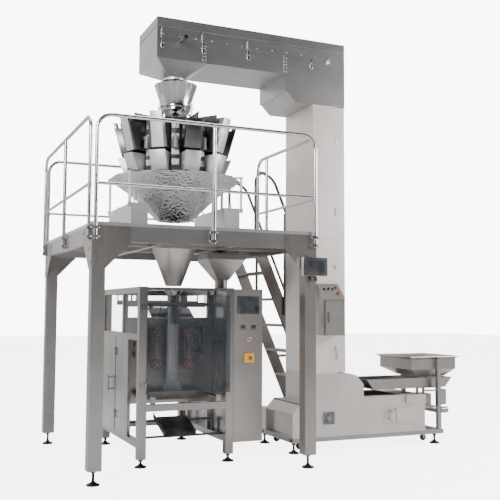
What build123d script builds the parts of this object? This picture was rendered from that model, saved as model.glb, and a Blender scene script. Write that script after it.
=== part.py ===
"""Vertical form fill seal packing line.

A bag former stands under a raised work platform.  The platform carries a ten-head weigher, whose
chute drops each portion down a cone and the forming tube.  A bucket elevator beside the platform
lifts the product from a feed hopper at floor level to the weigher.

Every function models one sub-part in line coordinates: X runs right along the line, Y runs back,
Z runs up, and zero is the floor under the platform's front left leg.  All sizes are millimetres.
"""

from build123d import *
import os
from math import atan2, cos, degrees, hypot, radians, sin

# ---------------------------------------------------------------- platform
DECK_HEIGHT = 2200.0          # floor to walking surface
PLATFORM_WIDTH = 2019.0       # leg centre to leg centre, along the line
PLATFORM_DEPTH = 2197.0       # leg centre to leg centre, front to back
LEG = 116.0                   # outside of the square leg tube
LEG_WALL = 5.0
LEG_CLEARANCE = 122.0         # floor to the end of the leg tube
DECK_THICKNESS = 31.0
DECK_PLATE = 5.0
DECK_LIP = 5.0                # how far the deck edge stands over the frame
SKIRT = 4.0
BEAM_HEIGHT = 134.0
BEAM_WIDTH = 60.0
BEAM_WALL = 4.0
GUSSET_PLATE = 6.0
GUSSET_REACH = 215.0          # how far a gusset runs past its leg
GUSSET_DROP = 230.0           # how far it reaches below the frame
GUSSET_SLOPE = 222.0
BOLT_R = 9.0
BOLT_HEAD = 8.0

# ---------------------------------------------------------------- guard rails
RAIL_R = 16.85
RAIL_WALL = 2.6
RAIL_HEIGHT = 920.0           # deck to the top rail's centre
MID_RAIL_HEIGHT = 325.0
RAIL_BEND = 130.0
RAIL_FOOT = 153.0             # how far a post runs down past the deck surface
FRONT_INSET = 20.0
SIDE_INSET = 35.0
MID_POST_SHIFT = 22.0
STAIR_GAP_START = 1310.0      # right hand rail stops here, the stair is behind it
RIGHT_MID_POST = 1080.0
FOOT_PLATE = 60.0
FOOT_PLATE_HEIGHT = 110.0

# ---------------------------------------------------------------- stair
STAIR_FRONT = 1450.0
STAIR_WIDTH = 740.0
STAIR_RISE = 300.0
STAIR_TREADS = 7
STAIR_SLOPE = 2.33            # rise over going
STRINGER_BAND = 152.0         # width of a stringer, measured level
STRINGER_PLATE = 8.0
STRINGER_START = 70.0         # level run of the stringer at the deck
TREAD_DEPTH = 132.0
TREAD_THICKNESS = 30.0
HANDRAIL_OFFSET = 440.0       # level distance from stringer to handrail
HANDRAIL_TOP = 818.0          # handrail's highest point over the deck
HANDRAIL_LOW = 900.0

# ---------------------------------------------------------------- levelling feet
FOOT_R = 57.0
FOOT_DISC = 14.0
FOOT_STEM_R = 12.0
FOOT_NUT_R = 20.0
FOOT_NUT = 16.0

# ---------------------------------------------------------------- weigher
AXIS_X = PLATFORM_WIDTH / 2   # product axis: weigher, cone and forming tube
AXIS_Y = 975.0
HEADS = 10
HEAD_PITCH = 360.0 / HEADS
BASE_OFFSET = 476.0           # product axis to the middle of a side box
BASE_WIDTH = 168.0
BASE_HEIGHT = 272.0
BASE_LENGTH = 860.0
BASE_FRONT = 385.0            # product axis to the front of a side box
CHUTE_TOP_R = 680.0
CHUTE_MID_R = 435.0
CHUTE_LOW_R = 178.0
CHUTE_TOP = 570.0             # heights over the deck
CHUTE_MID = 404.0
CHUTE_LOW = 155.0
CHUTE_PROP = 440.0            # product axis to the props under the chute
SHEET = 3.0
WEIGH_LOW = 600.0
WEIGH_HEIGHT = 185.0
FEED_LOW = 812.0
FEED_HEIGHT = 275.0
BUCKET_WIDTH = 172.0
BUCKET_IN_R = 392.0           # inner wall of a bucket from the axis
BUCKET_TOP_R = 598.0
BUCKET_LOW_R = 500.0
DRUM_R = 300.0
DRUM_LOW = 640.0
DRUM_TOP = 1090.0
SPIDER_LOW = 576.0
SPIDER = 18.0
SPIDER_Y = 380.0
SPIDER_HUB_R = 260.0
PAN_LOW = 1105.0
PAN_HEIGHT = 75.0
PAN_START_R = 175.0
PAN_END_R = 520.0
PAN_WIDTH = 120.0
CONE_LOW = 1190.0
CONE_HEIGHT = 95.0
CONE_R = 165.0
INFEED_LOW = 1318.0
INFEED_TOP = 1557.0
INFEED_LOW_R = 146.0
INFEED_TOP_R = 222.0
STRUT_R = 9.0
STRUT_CIRCLE = 265.0
STRUT_HEADS = (0, 3, 5, 8)    # struts stand between a head and the next one

# ---------------------------------------------------------------- chutes under the deck
CONE_MOUTH_R = 282.0
CONE_MOUTH = 30.0             # height of the cone's rim over the deck
CONE_END_R = 80.0
CONE_END = 1697.0
SWEEPINGS_X = 603.5              # product axis to the sweepings chute
SWEEPINGS_Y = 205.0
SWEEPINGS_MOUTH_R = 100.0
SWEEPINGS_MOUTH_SHIFT = 90.0     # the deck hole is off the chute's middle, clear of the weigher
SWEEPINGS_TOP_W = 430.0
SWEEPINGS_TOP_D = 300.0
SWEEPINGS_TOP = 1992.0
SWEEPINGS_NECK = 1777.0
SWEEPINGS_R = 65.0
SWEEPINGS_END = 1564.0

# ---------------------------------------------------------------- bag former
FORMER_WIDTH = 955.0
FORMER_DEPTH = 1445.0
FORMER_FRONT = 530.0
FORMER_TOP = 1675.0
FORMER_LOW = 75.0
POST = 80.0
POST_WALL = 4.0
FRAME_RAIL = 60.0
LOW_RAIL = 178.0
MID_RAIL = 1170.0
SIDE_SPLIT = 1387.0           # seam between the fixed side sheet and the side door
SIDE_MIDDLE = 934.0
SIDE_HINGES = (389.0, 1023.0)
PANEL = 2.5
CROSS_LOW = 511.0
CROSS_HEIGHT = 65.0
BACKPLATE = 12.0
BACKPLATE_OFFSET = 125.0      # product axis to the mounting plate
BACKPLATE_LOW = 520.0
BACKPLATE_TOP = 1380.0
UPRIGHT = 50.0
TUBE_R = 62.0
TUBE_WALL = 1.5
TUBE_END = 845.0
TUBE_TOP = 1600.0
TUBE_MOUTH = 78.0
TUBE_MOUTH_R = 104.0
COLLAR_LOW = 1375.0
COLLAR_TOP = 1490.0
COLLAR_REACH = 225.0
FILM_GAP = 1.0
FILM = 0.8
FILM_WIDTH = 400.0

# ---------------------------------------------------------------- pull belts, sealers
PULLEY_R = 50.0
PULLEY_WIDTH = 40.0
BELT = 5.0
BELT_UPPER = 1207.0
BELT_LOWER = 915.0
BELT_TRAVEL = 48.0            # the heads stand this far off the tube to thread the film
RUN_CLEARANCE = 0.05
GAP = 0.5
SEAT = 0.3                    # gap between pieces that rest against each other
SHAFT_R = 10.0
HEAD_PLATE = 12.0
GUIDE_OFFSET = 85.0           # product axis to the cross slide rods
GUIDE_HIGH = 1110.0
GUIDE_LOW = 1010.0
CARRIAGE = 70.0
JAW_LENGTH = 560.0
JAW_DEPTH = 50.0
JAW_LOW = 578.0
JAW_HEIGHT = 79.0
JAW_TRAVEL = 58.5             # how far each jaw moves in to close on the film
JAW_OPEN = 60.0
JAW_ROD_R = 12.5
JAW_ROD_X = 330.0
JAW_BUSH = 28.0
SWING_X = 250.0
SWING_Y = -125.0
SWING_ARM = 205.0
SWING_REST = 45.0
SWING_LOW = 1000.0
SWING_HEIGHT = 330.0

# ---------------------------------------------------------------- film unwind
CHUTE_BAR = 18.0
ROLL_R = 190.0
ROLL_WIDTH = 420.0
ROLL_CORE_R = 38.0
ROLL_Y = 1690.0
ROLL_Z = 640.0
IDLER_R = 25.0

# ---------------------------------------------------------------- control cabinet
CABINET_WIDTH = 309.0
CABINET_DEPTH = 520.0
CABINET_LOW = 180.0
CABINET_TOP = 1665.0
CABINET_WALL = 2.0
DOOR = 18.0
SCREEN_WIDTH = 236.0
SCREEN_HEIGHT = 174.0
SCREEN_DEPTH = 8.0
SCREEN_MIDDLE = 1508.0
CONTROLLER = 48.0
CONTROLLER_Z = 1290.0
SELECTOR_Z = 1170.0
SELECTOR_R = 14.0
STOP_Z = 991.0
STOP_BOX = 90.0
STOP_BOX_DEPTH = 42.0
STOP_R = 20.0
STOP_TRAVEL = 5.0             # how far the stop button presses in

# ---------------------------------------------------------------- bucket elevator
ELEVATOR_WIDTH = 640.0
RUN_LEFT = -305.0             # product axis to the elevator's discharge end
RUN_LOW = 1735.0              # underside of the top run over the deck
RUN_HEIGHT = 410.0
SKIN = 3.0
LID_HEIGHT = 92.0
LID_LIP = 6.0
CORNER_LEFT = 2110.0
CORNER_LOW = 3650.0
CORNER_STEP = 3757.0
COLUMN_LEFT = 2440.0
COLUMN_WIDTH = 295.0
COLUMN_DOOR = 95.0
COLUMN_HINGES = (980.0, 2500.0, 3269.0)
BOOT_LEFT = 2197.0
BOOT_TOP = 805.0
BOOT_SHOULDER = 500.0
BOOT_CUT = 100.0
BOOT_RIGHT = 3048.0
BOOT_LOW = 151.0
BOOT_BACK = 105.0             # the boot is this much deeper than the column
TROUGH_RIGHT = 3836.0
TROUGH_TOP = 545.0
TROUGH_MOUTH = 520.0
FRAME_LOW = 105.0
FRAME_RIGHT = 4085.0
FRAME_BAR = 50.0
OUTLET_X = -22.0              # discharge outlet's centre from the product axis
OUTLET_R = 116.0
OUTLET_TOP_W = 545.0
OUTLET_DROP = 115.0
OUTLET_RING = 20.0
SPROCKET_R = 110.0
SPROCKET = 14.0
ELEVATOR_SHAFT_R = 20.0
CHAIN = 12.0
CHAIN_DEPTH = 22.0
CHAIN_INSET = 70.0
BUCKET_PITCH = 230.0
STRAND_OFFSET = 180.0          # column's left side to the guide shafts
SHAFT_REACH = 150.0
TAIL_REACH = 20.0
CASTER_R = 38.0
CASTER_Z = 60.0
CASTER_WIDTH = 26.0
AXLE_R = 6.0

# ---------------------------------------------------------------- elevator control box
BOX_LEFT = 2478.0
BOX_WIDTH = 257.0
BOX_DEPTH = 155.0
BOX_LOW = 1202.0
BOX_HIGH = 1568.0
BOX_SLOPE = 172.0
BOX_DOOR = 12.0
BUTTON_R = 13.0

# ---------------------------------------------------------------- feed hopper
HOPPER_LEFT = 3695.0
HOPPER_LENGTH = 600.0
HOPPER_WIDTH = 620.0
HOPPER_RIM = 955.0
HOPPER_WALL_TOP = 925.0
HOPPER_WALL_LOW = 810.0
HOPPER_OUT = 728.0
HOPPER_OUT_LENGTH = 380.0
HOPPER_OUT_WIDTH = 380.0
RIM = 40.0
HOPPER_POST = 45.0
TRAY_LEFT = 3150.0
TRAY_RIGHT = 4290.0
TRAY_TOP = 712.0
TRAY_LOW = 602.0
TRAY_SLANT = 95.0
TRAY_WIDTH = 430.0
TRAY_TRAVEL = 3.0             # how far the tray shakes each way
HOPPER_TIES = (390.0, 570.0)  # heights of the ties between the hopper frame and the trough

# ---------------------------------------------------------------- platform operator screen
PANEL_WIDTH = 254.0
PANEL_HEIGHT = 172.0
PANEL_DEPTH = 55.0
PANEL_MIDDLE_Z = 1868.0
PANEL_X = 15.0                # right leg's centre to the screen's middle
PANEL_STAND = 16.0
PIVOT_R = 8.0
PIVOT_LUG = 34.0

# ---------------------------------------------------------------- worked out from the above
DECK_EDGE = LEG / 2
DECK_RIGHT = PLATFORM_WIDTH + DECK_EDGE
DECK_BACK = PLATFORM_DEPTH + DECK_EDGE
FRAME_TOP = DECK_HEIGHT - DECK_THICKNESS
FRAME_UNDER = FRAME_TOP - BEAM_HEIGHT
RAIL_OFFSET = DECK_EDGE + GUSSET_PLATE + RAIL_R
RAIL_TOP = DECK_HEIGHT + RAIL_HEIGHT
FORMER_LEFT = AXIS_X - FORMER_WIDTH / 2
FORMER_RIGHT = AXIS_X + FORMER_WIDTH / 2
FORMER_BACK = FORMER_FRONT + FORMER_DEPTH
CABINET_LEFT = FORMER_RIGHT
CABINET_RIGHT = CABINET_LEFT + CABINET_WIDTH
PLATE_Y = AXIS_Y + BACKPLATE_OFFSET
ELEVATOR_FRONT = AXIS_Y - ELEVATOR_WIDTH / 2
ELEVATOR_BACK = AXIS_Y + ELEVATOR_WIDTH / 2
BOOT_END = ELEVATOR_BACK + BOOT_BACK
RUN_X = AXIS_X + RUN_LEFT
RUN_Z = DECK_HEIGHT + RUN_LOW
RUN_TOP = RUN_Z + RUN_HEIGHT
COLUMN_RIGHT = COLUMN_LEFT + COLUMN_WIDTH
TOWER_RIGHT = COLUMN_RIGHT + COLUMN_DOOR
HOPPER_RIGHT = HOPPER_LEFT + HOPPER_LENGTH
HOPPER_Y = AXIS_Y + 35.0
TRAY_Y = AXIS_Y
PANEL_BACK = -(DECK_EDGE + GUSSET_PLATE + PANEL_STAND)
PANEL_FRONT = PANEL_BACK - PANEL_DEPTH
PANEL_CENTRE_X = PLATFORM_WIDTH + PANEL_X

LINE_LEFT = -(RAIL_OFFSET + RAIL_R)
LINE_RIGHT = HOPPER_RIGHT + RIM
LINE_FRONT = PANEL_FRONT
LINE_BACK = PLATFORM_DEPTH + RAIL_OFFSET + RAIL_R
CENTRE_X = (LINE_LEFT + LINE_RIGHT) / 2
CENTRE_Y = (LINE_FRONT + LINE_BACK) / 2


# ================================================================ shapes
def block(x0, x1, y0, y1, z0, z1):
    """A rectangular block between two corners."""
    centre = Pos((x0 + x1) / 2, (y0 + y1) / 2, (z0 + z1) / 2)
    return centre * Box(abs(x1 - x0), abs(y1 - y0), abs(z1 - z0))


def hollow(x0, x1, y0, y1, z0, z1, wall, along="z"):
    """A rectangular tube whose open ends face along one axis."""
    grow = {"x": (0, 1, 1), "y": (1, 0, 1), "z": (1, 1, 0)}[along]
    inner = block(
        x0 + wall * grow[0] - (1 - grow[0]), x1 - wall * grow[0] + (1 - grow[0]),
        y0 + wall * grow[1] - (1 - grow[1]), y1 - wall * grow[1] + (1 - grow[1]),
        z0 + wall * grow[2] - (1 - grow[2]), z1 - wall * grow[2] + (1 - grow[2]),
    )
    return block(x0, x1, y0, y1, z0, z1) - inner


def rod(start, end, radius, bore=0.0):
    """A round bar, or a round tube where a bore is given, between two points."""
    a = Vector(*start)
    span = Vector(*end) - a
    plane = Plane(origin=a, z_dir=span)
    bar = Cylinder(radius, span.length)
    if bore:
        bar = bar - Cylinder(bore, span.length + 2)
    return plane.location * Pos(0, 0, span.length / 2) * bar


def elbow(start, corner, end, radius, bore):
    """A bent tube that turns from start to end round a corner point."""
    first = Vector(*corner) - Vector(*start)
    arc = TangentArc(Vector(*start), Vector(*end), tangent=first)
    plane = Plane(origin=arc @ 0, z_dir=arc % 0)
    return sweep(plane * (Circle(radius) - Circle(bore)), path=arc)


def profile_y(points, y0, y1):
    """A prism with an outline in X and Z, from y0 to y1."""
    face = make_face(Polyline([(x, y0, z) for x, z in points], close=True))
    return extrude(face, amount=y1 - y0, dir=(0, 1, 0))


def profile_x(points, x0, x1):
    """A prism with an outline in Y and Z, from x0 to x1."""
    face = make_face(Polyline([(x0, y, z) for y, z in points], close=True))
    return extrude(face, amount=x1 - x0, dir=(1, 0, 0))


def polygon_ring(levels, wall, sides=HEADS, turn=0.0):
    """A thin faceted funnel through (radius, height) levels on the product axis."""
    skins = []
    for (r0, z0), (r1, z1) in zip(levels, levels[1:]):
        outer = loft([level_face(r0, z0, sides, turn), level_face(r1, z1, sides, turn)], ruled=True)
        inner = loft(
            [level_face(r0 - wall, z0, sides, turn), level_face(r1 - wall, z1, sides, turn)],
            ruled=True,
        )
        skins.append(outer - inner)
    whole = skins[0]
    for skin in skins[1:]:
        whole = whole + skin
    return Pos(AXIS_X, AXIS_Y, 0) * whole


def level_face(radius, z, sides, turn):
    """A level regular polygon about the origin."""
    return Pos(0, 0, z) * Rot(0, 0, turn) * RegularPolygon(radius, sides)


def cone_shell(r0, z0, r1, z1, wall):
    """A round funnel about the origin between two levels."""
    low, high = ((r0, z0), (r1, z1)) if z0 < z1 else ((r1, z1), (r0, z0))
    height = high[1] - low[1]
    outer = Cone(low[0], high[0], height)
    inner = Cone(low[0] - wall, high[0] - wall, height)
    return Pos(0, 0, low[1] + height / 2) * (outer - inner)


def disc(radius, z0, z1, bore=0.0):
    """A flat disc or ring about the origin."""
    body = Cylinder(radius, z1 - z0)
    if bore:
        body = body - Cylinder(bore, z1 - z0 + 2)
    return Pos(0, 0, (z0 + z1) / 2) * body


def group(*pieces):
    """Several separate solids kept together as one sub-part."""
    solids = []
    for piece in pieces:
        if isinstance(piece, (list, tuple)):
            solids.extend(group(*piece).solids())
        else:
            solids.extend(piece.solids())
    return Compound(children=solids)


def hex_bolt(x, y, z, direction, radius=BOLT_R, height=BOLT_HEAD):
    """A hexagon bolt head that stands on a face and points along a direction."""
    plane = Plane(origin=(x, y, z), z_dir=direction)
    return plane.location * extrude(RegularPolygon(radius, 6), amount=height)


# ================================================================ platform
def leg_places():
    """Centres of the four platform legs."""
    return [(x, y) for x in (0.0, PLATFORM_WIDTH) for y in (0.0, PLATFORM_DEPTH)]


def platform_legs():
    """Four square tube legs, each closed by a foot plate with the levelling nut's hole."""
    half = LEG / 2
    legs = []
    for x, y in leg_places():
        tube = hollow(x - half, x + half, y - half, y + half, LEG_CLEARANCE, FRAME_UNDER, LEG_WALL)
        cap = block(x - half + LEG_WALL, x + half - LEG_WALL, y - half + LEG_WALL,
                    y + half - LEG_WALL, LEG_CLEARANCE, LEG_CLEARANCE + LEG_WALL)
        legs.append(tube + cap - Pos(x, y, LEG_CLEARANCE) * Cylinder(FOOT_STEM_R, 4 * LEG_WALL))
    return group(legs)


def foot(x, y, top, bell=False):
    """One levelling foot: a pad, a threaded stem and a lock nut under the frame."""
    pad = disc(FOOT_R, 0, FOOT_DISC)
    if bell:
        pad = pad + Pos(0, 0, FOOT_DISC + 10) * Cone(FOOT_R - 6, FOOT_STEM_R + 4, 20)
    stem = disc(FOOT_STEM_R, FOOT_DISC, top + 3)
    nut = Pos(0, 0, top - FOOT_NUT) * extrude(RegularPolygon(FOOT_NUT_R, 6), amount=FOOT_NUT)
    return Pos(x, y, 0) * (pad + stem + nut)


def former_foot_places():
    """Centres of the bag former's feet."""
    half = POST / 2
    return [(x, y) for x in (FORMER_LEFT + half, FORMER_RIGHT - half)
            for y in (FORMER_FRONT + half, FORMER_BACK - half)]


def elevator_foot_places():
    """Centres of the elevator's feet."""
    inset = FRAME_BAR / 2
    return [(x, y) for x in (BOOT_LEFT + inset, FRAME_RIGHT - 110.0)
            for y in (ELEVATOR_FRONT + inset, BOOT_END - inset)]


def levelling_feet():
    """All twelve levelling feet of the line."""
    feet = [foot(x, y, LEG_CLEARANCE) for x, y in leg_places()]
    feet += [foot(x, y, FORMER_LOW) for x, y in former_foot_places()]
    feet += [foot(x, y, FRAME_LOW, bell=True) for x, y in elevator_foot_places()]
    return group(feet)


def joist_offsets():
    """Distances of the inner beams from the product axis, clear of the cone."""
    return CONE_MOUTH_R + BEAM_WIDTH / 2 + 30.0


def deck_frame():
    """Perimeter beams on the legs, and inner beams round the product opening."""
    z0 = FRAME_UNDER
    z1 = FRAME_TOP
    lo = -DECK_EDGE
    beams = [
        hollow(lo, DECK_RIGHT, lo, lo + BEAM_WIDTH, z0, z1, BEAM_WALL, "x"),
        hollow(lo, DECK_RIGHT, DECK_BACK - BEAM_WIDTH, DECK_BACK, z0, z1, BEAM_WALL, "x"),
        hollow(lo, lo + BEAM_WIDTH, lo + BEAM_WIDTH, DECK_BACK - BEAM_WIDTH, z0, z1, BEAM_WALL, "y"),
        hollow(DECK_RIGHT - BEAM_WIDTH, DECK_RIGHT, lo + BEAM_WIDTH, DECK_BACK - BEAM_WIDTH,
               z0, z1, BEAM_WALL, "y"),
    ]
    half = BEAM_WIDTH / 2
    inner_low = lo + BEAM_WIDTH
    for y in (AXIS_Y - joist_offsets(), AXIS_Y + joist_offsets()):
        beams.append(hollow(inner_low, DECK_RIGHT - BEAM_WIDTH, y - half, y + half,
                            z0 + 20, z1, BEAM_WALL, "x"))
    front_joist = AXIS_Y - joist_offsets()
    back_joist = AXIS_Y + joist_offsets()
    for x in (AXIS_X - joist_offsets(), AXIS_X + joist_offsets()):
        beams.append(hollow(x - half, x + half, inner_low, front_joist - half,
                            z0 + 20, z1, BEAM_WALL, "y"))
        beams.append(hollow(x - half, x + half, front_joist + half, back_joist - half,
                            z0 + 20, z1, BEAM_WALL, "y"))
        beams.append(hollow(x - half, x + half, back_joist + half, DECK_BACK - BEAM_WIDTH,
                            z0 + 20, z1, BEAM_WALL, "y"))
    return group(beams)


def deck_plate():
    """The walking surface with its folded edge, ribs, and the hole for the cone."""
    x0 = -DECK_EDGE - DECK_LIP
    x1 = DECK_RIGHT + DECK_LIP
    y0 = -DECK_EDGE - DECK_LIP
    y1 = DECK_BACK + DECK_LIP
    top = block(x0, x1, y0, y1, DECK_HEIGHT - DECK_PLATE, DECK_HEIGHT)
    edge = block(x0, x1, y0, y1, FRAME_TOP, DECK_HEIGHT - DECK_PLATE)
    wide = SKIRT + DECK_LIP
    edge = edge - block(x0 + wide, x1 - wide, y0 + wide, y1 - wide, FRAME_TOP - 1, DECK_HEIGHT)
    plate = top + edge
    for y in (AXIS_Y - joist_offsets(), AXIS_Y + joist_offsets()):
        plate = plate + block(x0, x1, y - SKIRT, y + SKIRT, FRAME_TOP, DECK_HEIGHT - DECK_PLATE)
    hole = Pos(AXIS_X, AXIS_Y, DECK_HEIGHT) * Cylinder(CONE_MOUTH_R + 4, 4 * DECK_THICKNESS)
    drop = Pos(AXIS_X + SWEEPINGS_X + SWEEPINGS_MOUTH_SHIFT, AXIS_Y + SWEEPINGS_Y, DECK_HEIGHT)
    return plate - hole - drop * Cylinder(SWEEPINGS_MOUTH_R, 4 * DECK_THICKNESS)


def gusset_outline(reach):
    """Outline of a leg gusset: across the leg, up the slope, and along the frame."""
    low = FRAME_UNDER - GUSSET_DROP
    return [(-DECK_EDGE, low), (DECK_EDGE, low), (DECK_EDGE + reach, low + GUSSET_SLOPE),
            (DECK_EDGE + reach, FRAME_TOP - 2), (-DECK_EDGE, FRAME_TOP - 2)]


def gusset_bolts():
    """Bolt places on a gusset, as distance from the leg's centre and height."""
    top = FRAME_UNDER + BEAM_HEIGHT / 2
    return [(17.0, top + 51), (17.0, top - 26), (78.0, top + 11), (248.0, top + 18),
            (-30.0, FRAME_UNDER - 180), (30.0, FRAME_UNDER - 60)]


def corner_gussets():
    """A pair of gusset plates at each leg, bolted to the leg and to the frame."""
    pieces = []
    t = GUSSET_PLATE
    outline = gusset_outline(GUSSET_REACH)
    for right in (False, True):
        side = -1 if right else 1
        base = PLATFORM_WIDTH if right else 0.0
        flat = [(base + side * x, z) for x, z in outline]
        for y, out in ((-DECK_EDGE, -1), (DECK_BACK, 1)):
            y0, y1 = (y - t, y) if out < 0 else (y, y + t)
            pieces.append(profile_y(flat, y0, y1))
            face = y0 if out < 0 else y1
            pieces += [hex_bolt(base + side * x, face, z, (0, out, 0)) for x, z in gusset_bolts()]
    for back in (False, True):
        side = -1 if back else 1
        base = PLATFORM_DEPTH if back else 0.0
        flat = [(base + side * y, z) for y, z in outline]
        for x, out in ((-DECK_EDGE, -1), (DECK_RIGHT, 1)):
            x0, x1 = (x - t, x) if out < 0 else (x, x + t)
            pieces.append(profile_x(flat, x0, x1))
            face = x0 if out < 0 else x1
            places = gusset_bolts()[2:]
            pieces += [hex_bolt(face, base + side * y, z, (out, 0, 0)) for y, z in places]
    return group(pieces)


def hoop(place, start, stop, posts):
    """One guard rail: a top tube bent down into end posts, a mid rail and inner posts.

    place turns (distance along the rail, height) into a point, start and stop are the end
    posts and posts the inner ones.
    """
    bore = RAIL_R - RAIL_WALL
    foot_z = DECK_HEIGHT - RAIL_FOOT
    mid_z = DECK_HEIGHT + MID_RAIL_HEIGHT
    low = RAIL_TOP - RAIL_BEND
    pieces = [rod(place(start + RAIL_BEND, RAIL_TOP), place(stop - RAIL_BEND, RAIL_TOP), RAIL_R, bore)]
    for end, into in ((start, 1), (stop, -1)):
        pieces.append(elbow(place(end, low), place(end, RAIL_TOP),
                            place(end + into * RAIL_BEND, RAIL_TOP), RAIL_R, bore))
        pieces.append(rod(place(end, foot_z), place(end, low), RAIL_R, bore))
    for post in posts:
        pieces.append(rod(place(post, foot_z), place(post, RAIL_TOP - RAIL_R), RAIL_R, bore))
    stations = [start] + list(posts) + [stop]
    for a, b in zip(stations, stations[1:]):
        pieces.append(rod(place(a + RAIL_R, mid_z), place(b - RAIL_R, mid_z), RAIL_R - 3, bore - 3))
    return pieces


def front_mid_post():
    """Place of the front and back rails' inner post."""
    return PLATFORM_WIDTH / 2 + MID_POST_SHIFT


def guard_rails():
    """Guard rails round the deck, open only at the head of the stair."""
    left_end = -DECK_EDGE + FRONT_INSET
    right_end = DECK_RIGHT - FRONT_INSET
    front_y = -RAIL_OFFSET
    back_y = PLATFORM_DEPTH + RAIL_OFFSET
    left_x = -RAIL_OFFSET
    right_x = PLATFORM_WIDTH + RAIL_OFFSET
    near = -DECK_EDGE + SIDE_INSET
    far = DECK_BACK - SIDE_INSET
    middle = (near + far) / 2
    pieces = hoop(lambda d, z: (d, front_y, z), left_end, right_end, [front_mid_post()])
    pieces += hoop(lambda d, z: (d, back_y, z), left_end, right_end, [front_mid_post()])
    pieces += hoop(lambda d, z: (left_x, d, z), near, far, [middle])
    pieces += hoop(lambda d, z: (right_x, d, z), near, STAIR_GAP_START, [RIGHT_MID_POST])
    return group(pieces + rail_foot_plates(middle))


def rail_foot_plates(side_middle):
    """Packing plates and bolts where a post stands away from a gusset."""
    z1 = FRAME_TOP - 12
    z0 = z1 - FOOT_PLATE_HEIGHT
    half = FOOT_PLATE / 2
    t = GUSSET_PLATE
    plates = []
    bolt_z = (z0 + 22, z1 - 22)
    x = front_mid_post()
    for y, out in ((-DECK_EDGE, -1), (DECK_BACK, 1)):
        y0, y1 = (y - t, y) if out < 0 else (y, y + t)
        plates.append(block(x - half - 8, x + half + 8, y0, y1, z0, z1))
        face = y0 if out < 0 else y1
        plates += [hex_bolt(x + s * 27, face, z, (0, out, 0), 7, 6) for s in (-1, 1) for z in bolt_z]
    stations = [(-DECK_EDGE, -1, side_middle), (DECK_RIGHT, 1, STAIR_GAP_START),
                (DECK_RIGHT, 1, RIGHT_MID_POST)]
    for x, out, y in stations:
        x0, x1 = (x - t, x) if out < 0 else (x, x + t)
        plates.append(block(x0, x1, y - half - 8, y + half + 8, z0, z1))
        face = x0 if out < 0 else x1
        plates += [hex_bolt(face, y + s * 27, z, (out, 0, 0), 7, 6) for s in (-1, 1) for z in bolt_z]
    return plates


# ================================================================ stair
def stringer_line(z):
    """X of a stringer's lower edge at a height."""
    start = DECK_RIGHT + GUSSET_PLATE + STRINGER_START
    return start + (FRAME_UNDER - z) / STAIR_SLOPE


def handrail_line(z):
    """X of the sloping handrail at a height."""
    return stringer_line(z) + STRINGER_BAND + HANDRAIL_OFFSET


def stair():
    """Two stringers bolted to the deck frame, with seven folded treads between them."""
    x0 = DECK_RIGHT + GUSSET_PLATE
    top = FRAME_TOP - 4
    outline = [(x0, top), (stringer_line(top) + STRINGER_BAND, top),
               (stringer_line(0) + STRINGER_BAND, 0), (stringer_line(0), 0),
               (stringer_line(FRAME_UNDER), FRAME_UNDER), (x0, FRAME_UNDER)]
    near = STAIR_FRONT
    far = STAIR_FRONT + STAIR_WIDTH
    t = STRINGER_PLATE
    pieces = [profile_y(outline, near, near + t), profile_y(outline, far - t, far)]
    pieces.append(block(DECK_RIGHT, x0, near, near + FOOT_PLATE, FRAME_UNDER, top))
    for step in range(1, STAIR_TREADS + 1):
        z = DECK_HEIGHT - step * STAIR_RISE
        x = stringer_line(z) + (STRINGER_BAND - TREAD_DEPTH) / 2
        tread = block(x, x + TREAD_DEPTH, near + t, far - t, z - TREAD_THICKNESS, z)
        inside = block(x + SKIRT, x + TREAD_DEPTH - SKIRT, near, far, z - TREAD_THICKNESS - 1, z - SKIRT)
        pieces.append(tread - inside)
    return group(pieces)


def stair_handrails():
    """A bent handrail on the outside of each stringer, with a mid post."""
    bore = RAIL_R - RAIL_WALL
    pieces = []
    top_z = DECK_HEIGHT + HANDRAIL_TOP
    head_x = DECK_RIGHT + GUSSET_PLATE + 2 * RAIL_R + 12.0
    low_z = HANDRAIL_LOW
    post_x = head_x + 370.0
    for y in (STAIR_FRONT - RAIL_R, STAIR_FRONT + STAIR_WIDTH + RAIL_R):
        crest = handrail_line(top_z)
        slope = hypot(1, STAIR_SLOPE)
        bend = 110.0
        turn = 150.0
        down = (turn / slope, turn * STAIR_SLOPE / slope)
        post_foot = FRAME_UNDER + 20.0
        pieces.append(rod((head_x, y, post_foot), (head_x, y, top_z - bend), RAIL_R, bore))
        pieces.append(elbow((head_x, y, top_z - bend), (head_x, y, top_z),
                            (head_x + bend, y, top_z), RAIL_R, bore))
        pieces.append(rod((head_x + bend, y, top_z), (crest - turn, y, top_z), RAIL_R, bore))
        pieces.append(elbow((crest - turn, y, top_z), (crest, y, top_z),
                            (crest + down[0], y, top_z - down[1]), RAIL_R, bore))
        base = handrail_line(low_z)
        pieces.append(rod((crest + down[0], y, top_z - down[1]),
                          (base - down[0], y, low_z + down[1]), RAIL_R, bore))
        pieces.append(elbow((base - down[0], y, low_z + down[1]), (base, y, low_z),
                            (base - turn, y, low_z), RAIL_R, bore))
        inner = stringer_line(low_z) + STRINGER_BAND - 60
        pieces.append(rod((base - turn, y, low_z), (inner, y, low_z), RAIL_R, bore))
        post_low = FRAME_UNDER - (post_x - stringer_line(FRAME_UNDER) - STRINGER_BAND / 2) * STAIR_SLOPE
        post_high = top_z - (post_x - crest) * STAIR_SLOPE
        post_high = post_high - RAIL_R * slope
        pieces.append(rod((post_x, y, post_low), (post_x, y, post_high), RAIL_R, bore))
    return group(pieces)


# ================================================================ weigher
def ring_place(index):
    """Angle of a weigher head, counted from the front."""
    return -90.0 + index * HEAD_PITCH


def around(index, piece):
    """A piece made on the +X side of the product axis, turned to a head's place."""
    return Pos(AXIS_X, AXIS_Y, 0) * Rot(0, 0, ring_place(index)) * piece


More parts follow.
